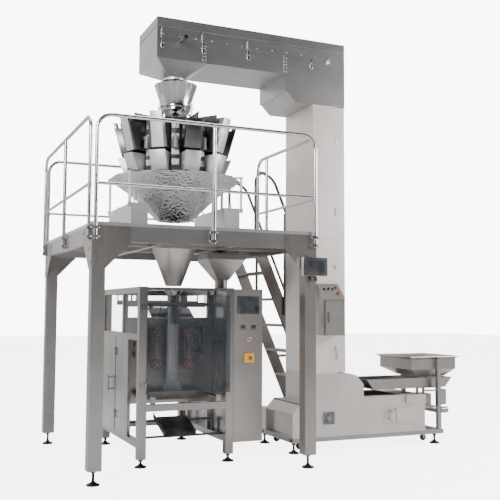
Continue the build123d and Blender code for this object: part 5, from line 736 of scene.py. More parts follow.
# ------------------------------------------------------------------ platform
@dataclass
class Platform:
    """Work platform: legs, deck, rails, stair, feet and the operator screen."""

    palette: Palette
    pad_radius: float = 57.0
    leg_gap: float = 122.0
    former_gap: float = 75.0
    elevator_gap: float = 101.0
    former_half_post: float = 40.0
    elevator_inset: float = 25.0
    elevator_right_inset: float = 110.0
    clamp_level: float = 2112.0
    front_clamps: tuple[float, ...] = (-38.0, 1031.5, 2057.0)
    left_clamps: tuple[float, ...] = (-23.0, 1098.5, 2220.0)
    right_clamps: tuple[float, ...] = (-23.0, 1080.0, 1310.0)
    clamp_reach: float = 80.85
    screen_margin: float = 30.0

    def build(self) -> None:
        """Dresses the carried-over nodes and models the fittings."""
        dress(self.palette, {
            "platform_legs": "leg_steel", "deck_frame": "beam_steel", "deck_plate": "deck_steel",
            "guard_rails": "rail_steel", "stair": "stair_steel", "stair_handrails": "handrail_steel",
        })
        self.feet()
        self.rail_clamps()
        self.screen()

    def feet(self) -> None:
        """Turned levelling feet with a dished pad, a threaded stem and a nut."""
        spots = []
        low_x, high_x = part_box("bagger_frame")[0].x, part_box("bagger_frame")[1].x
        low_y, high_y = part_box("bagger_frame")[0].y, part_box("bagger_frame")[1].y
        half = self.former_half_post * MM
        for x in (0.0, LINE.platform_width):
            for y in (0.0, LINE.platform_depth):
                spots.append((LINE.at(x, y, 0.0), self.leg_gap))
        for x in (low_x + half, high_x - half):
            for y in (low_y + half, high_y - half):
                spots.append((Vector((x, y, 0.0)), self.former_gap))
        base_low, base_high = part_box("elevator_base_frame")
        inset = self.elevator_inset * MM
        for x in (base_low.x + inset, base_high.x - self.elevator_right_inset * MM):
            for y in (base_low.y + inset, base_high.y - inset):
                spots.append((Vector((x, y, 0.0)), self.elevator_gap))
        parts = [self.foot(spot, top) for spot, top in spots]
        piece = joined(parts, "levelling_feet_detail")
        finished(piece, self.palette["foot_steel"], ROOT, ["levelling_feet"])

    def foot(self, spot: Vector, top: float) -> bpy.types.Object:
        """One levelling foot.

        Args:
            spot: The middle of its pad on the floor, in metres.
            top: Height of the frame end over it, in millimetres.

        Returns:
            The foot.
        """
        r = self.pad_radius
        rings = [(r, 0.0), (r, 9.0), (r - 4, 14.0), (r - 20, 19.0), (22.0, 28.0), (16.0, 38.0), (12.0, 40.0)]
        level = 40.0
        while level + 6.0 < top - 18.0:
            rings += [(12.0, level + 3.0), (10.6, level + 4.5), (12.0, level + 6.0)]
            level += 6.0
        rings += [(12.0, top - 17.0), (21.0, top - 16.5), (21.0, top - 2.0), (19.0, top - 0.3), (11.0, top - 0.2),
                  (11.0, top + 2.0)]
        return turned("foot", in_metres(rings), spot, (0, 0, 1), 20)

    def rail_clamps(self) -> None:
        """Dark saddle clamps with two bolts where each rail post meets the deck frame."""
        parts = []
        for x in self.front_clamps:
            parts += self.clamp(LINE.at(x, -self.clamp_reach, self.clamp_level), Vector((0, -1, 0)))
        for y in self.left_clamps:
            parts += self.clamp(LINE.at(-self.clamp_reach, y, self.clamp_level), Vector((-1, 0, 0)))
        right = LINE.platform_width + self.clamp_reach
        for y in self.right_clamps:
            parts += self.clamp(LINE.at(right, y, self.clamp_level), Vector((1, 0, 0)))
        piece = joined(parts, "rail_clamps")
        self.trim_to_rails(piece)
        finished(piece, None, ROOT)

    def trim_to_rails(self, piece: bpy.types.Object) -> None:
        """Cuts the clamps flush with the outer face of the left rail, and closes the cuts."""
        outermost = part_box("guard_rails")[0].x
        settle(piece)
        edit(piece)
        bpy.ops.mesh.bisect(plane_co=(outermost, 0.0, 0.0), plane_no=(-1.0, 0.0, 0.0), use_fill=True,
                            clear_outer=True)
        clear_selection()

    def clamp(self, spot: Vector, out: Vector) -> list[bpy.types.Object]:
        """One clamp: two saddles round the post and bolt heads beside them.

        Args:
            spot: Where the post meets the deck frame, in metres.
            out: The way that the clamp looks.

        Returns:
            The clamp's parts.
        """
        side = Vector((-out.y, out.x, 0.0))
        made = []
        for dz in (-42.0, 36.0):
            centre = spot + Vector((0, 0, dz * MM))
            rings = [(21.0, -12.0), (23.0, -10.0), (23.0, 10.0), (21.0, 12.0)]
            ring = turned("saddle", in_metres(rings), centre, (0, 0, 1), 20)
            made.append(coat(ring, self.palette["black_plastic"]))
            for s in (-1, 1):
                head = centre + side * (s * 29.0 * MM) - out * (10.0 * MM)
                rings = [(9.0, 0.0), (9.0, 4.0), (7.0, 6.5), (4.0, 7.5)]
                bolt = turned("bolt", in_metres(rings), head, tuple(out), 12)
                made.append(coat(bolt, self.palette["rail_steel"]))
        return made

    def screen(self) -> None:
        """The operator screen: steel housing, black bezel, dark glass and a tilt lug."""
        low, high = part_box("leg_screen")
        floor_z = high.z - 172.0 * MM
        body_low = Vector((low.x, low.y + 6 * MM, floor_z))
        housing = slab("housing", body_low, high.copy(), 4 * MM, 3)
        coat(housing, self.palette["bright_sheet"])
        face_low = Vector((low.x + 1 * MM, low.y, floor_z + 1 * MM))
        face_high = Vector((high.x - 1 * MM, low.y + 8 * MM, high.z - 1 * MM))
        bezel = slab("bezel", face_low, face_high, 2 * MM, 2)
        recess(bezel, (0, -1, 0), self.screen_margin * MM, 3 * MM)
        coat(bezel, self.palette["black_plastic"])
        glass_low = face_low + Vector((self.screen_margin * MM, 2 * MM, self.screen_margin * MM))
        glass_high = Vector((face_high.x - self.screen_margin * MM, low.y + 3.4 * MM,
                             face_high.z - self.screen_margin * MM))
        glass = coat(slab("glass", glass_low, glass_high, 0.6 * MM, 1), self.palette["screen_glass"])
        middle = (low.x + high.x) / 2
        pin_z = floor_z - 22 * MM
        pin_y = high.y - 20 * MM
        lug = turned("lug", [(13 * MM, -17 * MM), (14 * MM, -15 * MM), (14 * MM, 15 * MM), (13 * MM, 17 * MM)],
                     Vector((middle, pin_y, pin_z)), (1, 0, 0), 20)
        web_low = Vector((middle - 16 * MM, pin_y - 9 * MM, pin_z))
        web = slab("web", web_low, Vector((middle + 16 * MM, pin_y + 9 * MM, floor_z + 2 * MM)), 1.5 * MM)
        parts = [housing, bezel, glass, coat(lug, self.palette["dark_steel"]), coat(web, self.palette["dark_steel"])]
        piece = joined(parts, "operator_screen")
        finished(piece, None, "leg_screen", ["leg_screen"])


# ------------------------------------------------------------------ weigher
@dataclass(frozen=True)
class BucketShape:
    """A weigher bucket's outline from the product axis, in millimetres."""

    inner: float
    low_reach: float
    top_reach: float
    low: float
    high: float
    half: float


@dataclass
class Weigher:
    """Ten-head combination weigher on the deck."""

    palette: Palette
    heads: int = 10
    cover_lean: float = 92.0

    def build(self) -> None:
        """Dresses the carried-over nodes and models the visible fittings."""
        dress(self.palette, {
            "weigher_base": "bright_sheet", "weigher_drum": "drum_sheet_and_painted_bucket_shade", "collecting_chute": "dimpled_sheet",
            "feed_hoppers": "dimpled_sheet", "weigh_hoppers": "dimpled_sheet", "top_cone": "polished_sheet",
            "infeed_funnel": "polished_sheet", "deck_chutes": "cabinet_sheet",
        })
        self.buckets()
        self.drives()
        self.covers()
        self.beacon()
        self.funnel()

    def ring(self, shift: float = 0.0) -> list[Matrix]:
        """Turns about the product axis that put a piece on each head.

        Args:
            shift: Share of the pitch that every place is turned on by.

        Returns:
            One placing for each head, the front head first.
        """
        centre = LINE.at(LINE.axis_x, LINE.axis_y, 0.0)
        made = []
        for index in range(self.heads):
            angle = math.radians(-90.0 + (index + shift) * 360.0 / self.heads)
            made.append(Matrix.Translation(centre) @ Matrix.Rotation(angle, 4, "Z"))
        return made

    def bucket(self, name: str, outline: BucketShape) -> bpy.types.Object:
        """One bucket along +X from the axis, with a sloped front and an open top.

        Args:
            name: The piece's name.
            outline: The bucket's outline.

        Returns:
            The bucket.
        """
        low = Vector((outline.inner, -outline.half, outline.low)) * MM
        high = Vector((outline.top_reach, outline.half, outline.high)) * MM
        body = slab(name, low, high)
        pick_faces(body, facing((0, 0, -1)))
        share = (outline.low_reach - outline.inner) / (outline.top_reach - outline.inner)
        bpy.ops.transform.resize(value=(share, 1, 1), center_override=(outline.inner * MM, 0, 0))
        clear_selection()
        pick_faces(body, facing((0, 0, 1)))
        bpy.ops.mesh.inset(thickness=3 * MM)
        depth = 0.6
        drop = -depth * (outline.high - outline.low) * MM
        bpy.ops.mesh.extrude_region_move(TRANSFORM_OT_translate={"value": (0, 0, drop)})
        reach = outline.top_reach - depth * (outline.top_reach - outline.low_reach)
        share = (reach - 8.0 - outline.inner) / (outline.top_reach - 3.0 - outline.inner)
        bpy.ops.transform.resize(value=(share, 1, 1), center_override=((outline.inner + 3.0) * MM, 0, 0))
        clear_selection()
        edit(body)
        bpy.ops.mesh.bevel(offset=1.2 * MM, segments=2, affect="EDGES")
        clear_selection()
        return body

    def gate(self, outline: BucketShape) -> list[bpy.types.Object]:
        """The black gasket at a bucket's gate and the hinge bar in front.

        Args:
            outline: The bucket's outline.

        Returns:
            The gasket and the bar.
        """
        z = outline.low * MM
        lip_low = Vector((outline.inner * MM, -outline.half * MM, z))
        lip_high = Vector((outline.low_reach * MM + 2 * MM, outline.half * MM, z + 11 * MM))
        lip = coat(slab("gasket", lip_low, lip_high, 2 * MM), self.palette["black_rubber"])
        bar_start = Vector((outline.low_reach * MM - 4 * MM, -outline.half * MM, z + 32 * MM))
        wide = 2 * outline.half * MM
        rings = [(4 * MM, 0), (5 * MM, 1 * MM), (5 * MM, wide - 1 * MM), (4 * MM, wide)]
        bar = coat(turned("bar", rings, bar_start, (0, 1, 0), 10), self.palette["rail_steel"])
        return [lip, bar]

    def buckets(self) -> None:
        """Both rings of buckets; the upper ring gets the dark drum steel as painted shade, the lower ring bright
        steel.
        """
        upper = BucketShape(392.0, 530.0, 616.0, 3012.0, 3285.0, 85.0)
        lower = BucketShape(392.0, 500.0, 576.0, 2800.0, 2983.0, 79.0)
        # The upper buckets' dark steel is painted shade: they are the same steel as the lower, bright buckets.
        for outline, node, look in ((upper, "feed_hoppers", "drum_sheet_and_painted_bucket_shade"), (lower, "weigh_hoppers", "bright_sheet")):
            body = coat(self.bucket("bucket", outline), self.palette[look])
            one = joined([body, *self.gate(outline)], "bucket")
            ring = copies(one, self.ring(), node + "_detail")
            finished(ring, None, ROOT, [node])

    def drives(self) -> None:
        """Dark drive boxes and grey motors between the heads, with their cables."""
        box = slab("drive", Vector((302, -46, 2800)) * MM, Vector((430, 46, 3330)) * MM, 6 * MM)
        parts = [coat(box, self.palette["black_plastic"])]
        for z in (2860, 2960, 3110, 3220):
            lid = slab("lid", Vector((429, -36, z)) * MM, Vector((437, 36, z + 60)) * MM, 2 * MM)
            recess(lid, (1, 0, 0), 6 * MM, 2 * MM)
            parts.append(coat(lid, self.palette["cast_alloy"]))
        rings = [(24, 0), (29, 4), (29, 34), (26, 36), (26, 84), (29, 86), (29, 112), (24, 118)]
        motor = turned("motor", in_metres(rings), Vector((0.470, 0.0, 3.02)), (0, 0, 1), 20)
        parts.append(coat(motor, self.palette["motor_paint"]))
        ring = copies(joined(parts, "drive"), self.ring(0.5), "head_drives")
        finished(ring, None, ROOT)
        cable = bent_tube("cable", [Vector(p) for p in (
            (0.40, 0.02, 3.22), (0.46, 0.05, 3.30), (0.50, 0.0, 3.25), (0.47, -0.01, 3.13))], 4.5 * MM, 2)
        coat(cable, self.palette["black_rubber"])
        finished(copies(cable, self.ring(0.5), "head_cables"), None, ROOT)

    def covers(self) -> None:
        """Light cover plates that lean out over the upper buckets, open at the front head."""
        parts = []
        lean = self.cover_lean * MM
        sheets = [((538, -60, 3014), (543, 60, 3345)), ((492, -60, 3016), (540, -57, 3343)),
                  ((492, 57, 3016), (540, 60, 3343))]
        for number, (low, high) in enumerate(sheets):
            sheet = slab("cover", Vector(low) * MM, Vector(high) * MM)
            pick_faces(sheet, facing((0, 0, 1)))
            bpy.ops.transform.translate(value=(lean, 0, 0))
            clear_selection()
            edit(sheet)
            bpy.ops.mesh.bevel(offset=1.0 * MM, segments=2, affect="EDGES")
            clear_selection()
            parts.append(coat(sheet, self.palette["bright_sheet" if number == 0 else "side_sheet"]))
        band = slab("band", Vector((571, -58, 3150)) * MM, Vector((576, 58, 3156)) * MM, 0.8 * MM, 1)
        parts.append(coat(band, self.palette["dark_steel"]))
        cover = joined(parts, "cover")
        places = self.ring()[1:]
        finished(copies(cover, places, "head_covers"), None, ROOT)

    def beacon(self) -> None:
        """The signal beacon on its pole over the right-hand heads."""
        foot = LINE.at(1379, 818, 3290)
        pole = coat(turned("pole", [(0.008, 0), (0.008, 0.070), (0.030, 0.071), (0.030, 0.082), (0.026, 0.084)],
                           foot, (0, 0, 1), 20), self.palette["black_plastic"])
        rings = [(0.029, 0.084), (0.031, 0.088), (0.031, 0.140), (0.026, 0.156), (0.014, 0.164), (0.004, 0.166)]
        lens = coat(turned("lens", rings, foot, (0, 0, 1), 28), self.palette["beacon_lens"])
        finished(joined([pole, lens], "beacon"), None, ROOT)

    def funnel(self) -> None:
        """The fluted infeed funnel with its flange, neck and clamps."""
        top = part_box("infeed_funnel")[1].z
        z0 = LINE.deck * MM + 1.318
        rings = [(0.143, z0 - 0.030), (0.148, z0 - 0.030), (0.148, z0 - 0.001), (0.180, z0), (0.180, z0 + 0.008),
                 (0.150, z0 + 0.009), (0.152, z0 + 0.030), (0.188, z0 + 0.135), (0.222, top - 0.001),
                 (0.224, top), (0.219, top), (0.216, top - 0.004), (0.184, z0 + 0.135), (0.147, z0 + 0.030)]
        centre = LINE.at(LINE.axis_x, LINE.axis_y, 0.0)
        piece = turned("funnel", rings, centre, (0, 0, 1), 48)
        self.flute(piece, centre, z0 + 0.10)
        coat(piece, self.palette["polished_sheet"])
        strut_low = LINE.deck * MM + 1.090
        parts = [piece]
        for head in (0, 3, 5, 8):
            angle = math.radians(-90.0 + (head + 0.5) * 36.0)
            spot = centre + Vector((0.265 * math.cos(angle), 0.265 * math.sin(angle), strut_low))
            height = z0 - 0.008 - strut_low
            rings = [(0.013, 0), (0.013, 0.012), (0.009, 0.014), (0.009, height - 0.012), (0.013, height - 0.010),
                     (0.013, height)]
            parts.append(coat(turned("strut", rings, spot, (0, 0, 1), 14), self.palette["rail_steel"]))
            arm = slab("arm", Vector((0.160, -0.014, z0 - 0.008)), Vector((0.279, 0.014, z0)), 0.002)
            arm.data.transform(Matrix.Translation(centre) @ Matrix.Rotation(angle, 4, "Z"))
            parts.append(coat(arm, self.palette["bright_sheet"]))
        finished(joined(parts, "infeed_funnel_detail"), None, ROOT, ["infeed_funnel"])

    def flute(self, piece: bpy.types.Object, centre: Vector, start: float) -> None:
        """Draws every third point of the funnel's upper rings in, which leaves flutes.

        Args:
            piece: The funnel.
            centre: A point on its axis.
            start: Height above which points are drawn in, in metres.
        """
        step = math.radians(7.5)
        for vertex in piece.data.vertices:
            spoke = round(math.atan2(vertex.co.y - centre.y, vertex.co.x - centre.x) / step)
            vertex.select = vertex.co.z > start and spoke % 3 == 0
        for edge in piece.data.edges:
            edge.select = False
        for face in piece.data.polygons:
            face.select = False
        activate(piece)
        bpy.ops.object.mode_set(mode="EDIT")
        bpy.ops.mesh.select_mode(type="VERT")
        bpy.ops.transform.resize(value=(0.945, 0.945, 1.0), center_override=(centre.x, centre.y, 0.0))
        clear_selection()


# ------------------------------------------------------------------ bag former
@dataclass
class BagFormer:
    """The form fill seal machine under the deck."""

    palette: Palette
    cabinet_middle: float = 1642.5
    cabinet_face: float = 530.0
    selector_x: float = 1652.5
    selector_z: float = 1170.0
    stop_z: float = 991.0

    def build(self) -> None:
        """Dresses the carried-over nodes and models the visible fittings."""
        dress(self.palette, {
            "bagger_frame": "former_steel", "bagger_panels": "side_sheet", "side_window": "clear_side",
            "side_door": "side_sheet", "front_door": "clear_door", "cabinet_shell": "cabinet_sheet",
            "cabinet_door": "cabinet_sheet", "cabinet_controls": "black_plastic",
            "selector_switch": "black_plastic", "stop_button": "red_plastic", "forming_tube": "polished_sheet",
            "forming_collar": "polished_sheet", "film_web": "clear_film", "film_roll": "film_reel",
            "outlet_chute": "black_plastic", "belt_head_left": "former_steel", "belt_head_right": "former_steel",
            "pulley_left_upper": "cast_alloy", "pulley_left_lower": "cast_alloy",
            "pulley_right_upper": "cast_alloy", "pulley_right_lower": "cast_alloy",
            "vertical_sealer": "black_plastic", "front_jaw": "jaw_plate", "rear_jaw": "jaw_plate",
        })
        self.film()
        self.reel()
        self.belts()
        self.pulleys()
        self.door()
        self.operator_panel()
        self.selector()
        self.stop_button()

    def reel(self) -> None:
        """The film reel: wound film with stepped edges on a longer core."""
        low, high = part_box("film_roll")
        y, z = (low.y + high.y) / 2, (low.z + high.z) / 2
        length = high.x - low.x
        outer = (high.z - low.z) / 2
        rings = [(0.030, 0.0), (0.038, 0.0005), (0.038, 0.018), (0.060, 0.0175), (0.120, 0.0190), (0.175, 0.0176),
                 (outer - 0.002, 0.0180), (outer, 0.020), (outer, length - 0.020), (outer - 0.002, length - 0.018),
                 (0.175, length - 0.0176), (0.120, length - 0.0190), (0.060, length - 0.0175),
                 (0.038, length - 0.018), (0.038, length - 0.0005), (0.030, length)]
        roll = turned("reel", rings, Vector((low.x, y, z)), (1, 0, 0), 64)
        finished(roll, self.palette["film_reel"], "film_roll", ["film_roll"])

    def film(self) -> None:
        """The film: up from the reel over the rollers to the collar, and round the tube to the jaws."""
        low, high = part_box("film_web")
        path = [(1501.0, 640.0), (1504.0, 1545.0), (1499.0, 1558.0), (1485.0, 1559.5), (1230.0, 1541.0),
                (1138.0, 1482.0)]
        clear_selection()
        bpy.ops.mesh.primitive_plane_add(size=1, location=(0, 0, 0))
        web = bpy.context.object
        settle(web)
        wide = (low.x + 0.001, high.x - 0.001)
        first = LINE.at(0, path[0][0], path[0][1])
        for vertex, x in zip(web.data.vertices, (wide[0], wide[1], wide[0], wide[1])):
            back = 0.0 if vertex.index < 2 else 0.0008
            vertex.co = (x, first.y + back, first.z)
        edit(web)
        spot = Vector(path[0])
        for point in path[1:]:
            step = Vector(point) - spot
            bpy.ops.mesh.extrude_region_move(TRANSFORM_OT_translate={"value": (0, step.x * MM, step.y * MM)})
            spot = Vector(point)
        clear_selection()
        coat(web, self.palette["clear_film"])
        tube = LINE.at(LINE.axis_x, LINE.axis_y, 0.0)
        rings = [(62.5, 765.0), (62.7, 900.0), (62.5, 1060.0), (62.6, 1200.0), (62.5, 1372.0),
                 (63.2, 1372.0), (63.3, 1200.0), (63.2, 1060.0), (63.3, 900.0), (63.2, 765.0)]
        sleeve = turned("sleeve", in_metres(rings), tube, (0, 0, 1), 48)
        coat(sleeve, self.palette["clear_film"])
        fold = self.fold()
        coat(fold, self.palette["clear_film"])
        piece = joined([web, sleeve, fold], "film_detail")
        finished(piece, None, ROOT, ["film_web"])

    def fold(self) -> bpy.types.Object:
        """The end of the film tube, drawn flat between the jaws.

        Returns:
            The folded end.
        """
        spot = LINE.at(LINE.axis_x, LINE.axis_y, 764.0)
        clear_selection()
        bpy.ops.mesh.primitive_circle_add(vertices=48, radius=62.4 * MM, fill_type="NGON", location=spot)
        fold = bpy.context.object
        settle(fold)
        edit(fold)
        wide, deep, level = 62.4, 62.4, 764.0
        for next_wide, next_deep, next_level in ((70.0, 54.0, 742.0), (80.0, 32.0, 712.0), (90.0, 10.0, 684.0),
                                                 (96.0, 0.8, 664.0), (97.0, 0.5, 640.5)):
            step = (next_level - level) * MM
            bpy.ops.mesh.extrude_region_move(TRANSFORM_OT_translate={"value": (0, 0, step)})
            share = (next_wide / wide, next_deep / deep, 1.0)
            bpy.ops.transform.resize(value=share, center_override=(spot.x, spot.y, next_level * MM))
            wide, deep, level = next_wide, next_deep, next_level
        clear_selection()
        return fold

    def belts(self) -> None:
        """Dark red toothed pull belts round each pair of pulleys."""
        for name in ("left", "right"):
            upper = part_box(f"pulley_{name}_upper")
            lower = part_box(f"pulley_{name}_lower")
            low = Vector((lower[0].x - 0.0057, lower[0].y - 0.0003, lower[0].z - 0.0057))
            high = Vector((upper[1].x + 0.0057, upper[1].y + 0.0003, upper[1].z + 0.0057))
            loop = slab(f"pull_belt_{name}", low, high)
            for edge in loop.data.edges:
                a, b = (loop.data.vertices[i].co for i in edge.vertices)
                edge.select = abs(a.y - b.y) > 0.01
            for face in loop.data.polygons:
                face.select = False
            activate(loop)
            bpy.ops.object.mode_set(mode="EDIT")
            bpy.ops.mesh.select_mode(type="EDGE")
            bpy.ops.mesh.bevel(offset=0.0556, segments=14, affect="EDGES")
            clear_selection()
            pick_faces(loop, lambda face: abs(face.normal.y) > 0.9)
            bpy.ops.mesh.inset(thickness=0.0054)
            bpy.ops.mesh.bridge_edge_loops()
            clear_selection()
            finished(loop, self.palette["belt_rubber"], f"belt_head_{name}")

    def pulleys(self) -> None:
        """Flanged alloy pulleys with red rubber faces."""
        for name in ("left_upper", "left_lower", "right_upper", "right_lower"):
            low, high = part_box(f"pulley_{name}")
            spot = Vector(((low.x + high.x) / 2, low.y, (low.z + high.z) / 2))
            wide = high.y - low.y
            rings = [(0.0102, 0.002), (0.018, 0.001), (0.022, 0.006), (0.030, 0.006), (0.034, 0.0), (0.0385, 0.0),
                     (0.0390, wide), (0.018, wide), (0.0102, wide)]
            hub = coat(turned("hub", rings, spot, (0, 1, 0), 40), self.palette["cast_alloy"])
            tyre = [(0.0391, 0.0005), (0.0495, 0.0005), (0.0499, 0.0010), (0.0499, wide - 0.001),
                    (0.0391, wide - 0.0005)]
            rim = coat(turned("rim", tyre, spot, (0, 1, 0), 40), self.palette["belt_rubber"])
            pulley = f"pulley_{name}"
            finished(joined([hub, rim], pulley + "_detail"), None, pulley, [pulley])

    def door(self) -> None:
        """The clear front door: a polished pane with a star knob near each corner."""
        low, high = LINE.at(603.0, 516.0, 665.0), LINE.at(1447.0, 522.0, 1600.0)
        pane = coat(slab("pane", low, high, 1.2 * MM, 2), self.palette["clear_door"])
        parts = [pane]
        for z in (755.0, 1483.0):
            parts.append(self.star_knob(LINE.at(632, 516, z)))
        for z in (734.0, 1469.0):
            parts.append(self.star_knob(LINE.at(1419, 516, z)))
        finished(joined(parts, "front_door_detail"), None, "front_door", ["front_door"])

    def star_knob(self, spot: Vector) -> bpy.types.Object:
        """A black five-lobed knob on a short stem.

        Args:
            spot: Where the stem starts, in metres.

        Returns:
            The knob.
        """
        rings = [(8, 0), (8, 9), (17, 10), (20.5, 13), (20.5, 21), (17, 25), (6, 26)]
        knob = turned("knob", in_metres(rings), spot, (0, -1, 0), 30)
        for vertex in knob.data.vertices:
            reach = Vector((vertex.co.x - spot.x, vertex.co.z - spot.z))
            if reach.length > 0.016:
                lobe = math.cos(5.0 * math.atan2(reach.y, reach.x))
                share = 0.90 + 0.10 * lobe
                vertex.co.x = spot.x + reach.x * share
                vertex.co.z = spot.z + reach.y * share
        return coat(knob, self.palette["black_plastic"])

    def operator_panel(self) -> None:
        """The cabinet door's face: screen, two temperature controllers, plate and yellow stop box."""
        x, face = self.cabinet_middle, self.cabinet_face
        parts = []
        bezel = slab("bezel", LINE.at(x - 118, face - 8, 1421), LINE.at(x + 118, face, 1595), 2 * MM, 3)
        recess(bezel, (0, -1, 0), 20 * MM, 2 * MM)
        parts.append(coat(bezel, self.palette["black_plastic"]))
        glass = slab("glass", LINE.at(x - 98, face - 6.6, 1441), LINE.at(x + 98, face - 5.6, 1575), 0.3 * MM, 1)
        parts.append(coat(glass, self.palette["screen_glass"]))
        for dx in (-56.0, 56.0):
            case = slab("case", LINE.at(x + dx - 24, face - 5, 1266), LINE.at(x + dx + 24, face, 1314), 1.5 * MM, 2)
            recess(case, (0, -1, 0), 5 * MM, 1.2 * MM)
            parts.append(coat(case, self.palette["black_plastic"]))
            shown = slab("shown", LINE.at(x + dx - 17, face - 4.4, 1289), LINE.at(x + dx + 17, face - 3.7, 1307),
                         0.2 * MM, 1)
            parts.append(coat(shown, self.palette["display_glass"]))
            for key in range(4):
                left = x + dx - 16 + key * 8.6
                button = slab("key", LINE.at(left, face - 4.6, 1273), LINE.at(left + 6, face - 3.7, 1279),
                              0.4 * MM, 1)
                parts.append(coat(button, self.palette["grey_plastic"]))
        plate = slab("plate", LINE.at(x - 9, face - 3, 1151), LINE.at(x + 29, face, 1189), 1 * MM, 2)
        parts.append(coat(plate, self.palette["bright_sheet"]))
        box = slab("stop_box", LINE.at(x - 45, face - 42, 946), LINE.at(x + 45, face, 1036), 5 * MM, 4)
        parts.append(coat(box, self.palette["yellow_plastic"]))
        for dx in (-36.0, 36.0):
            for dz in (-36.0, 36.0):
                rings = [(4 * MM, 0), (4 * MM, 0.6 * MM), (2.6 * MM, 1.0 * MM)]
                screw = turned("screw", rings, LINE.at(x + dx, face - 42, self.stop_z + dz), (0, -1, 0), 12)
                parts.append(coat(screw, self.palette["rail_steel"]))
        piece = joined(parts, "operator_panel")
        finished(piece, None, "cabinet_door", ["cabinet_controls"])

    def selector(self) -> None:
        """The rotary selector with a raised grip and a white pointer."""
        x, z, face = self.selector_x, self.selector_z, self.cabinet_face
        rings = [(8, -2.5), (8, 3.6), (14, 3.7), (14, 12), (12.5, 15), (9, 16)]
        knob = turned("selector", in_metres(rings), LINE.at(x, face, z), (0, -1, 0), 32)
        coat(knob, self.palette["red_plastic"])
        grip = slab("grip", LINE.at(x - 4, face - 26, z - 12.5), LINE.at(x + 4, face - 14, z + 12.5), 1.8 * MM, 3)
        coat(grip, self.palette["red_plastic"])
        mark = slab("mark", LINE.at(x - 0.8, face - 26.0, z + 2), LINE.at(x + 0.8, face - 25.6, z + 11))
        coat(mark, self.palette["white_plastic"])
        piece = joined([knob, grip, mark], "selector_detail")
        finished(piece, None, "selector_switch", ["selector_switch"])

    def stop_button(self) -> None:
        """The red mushroom stop button."""
        rings = [(9, -24), (9, 9), (18.5, 9.2), (20, 11), (20, 17), (17.5, 21), (11, 23.5), (4, 24)]
        spot = LINE.at(self.cabinet_middle, 488.0, self.stop_z)
        knob = turned("cabinet_stop_button", in_metres(rings), spot, (0, -1, 0), 40)
        finished(knob, self.palette["red_plastic"], "stop_button", ["stop_button"])


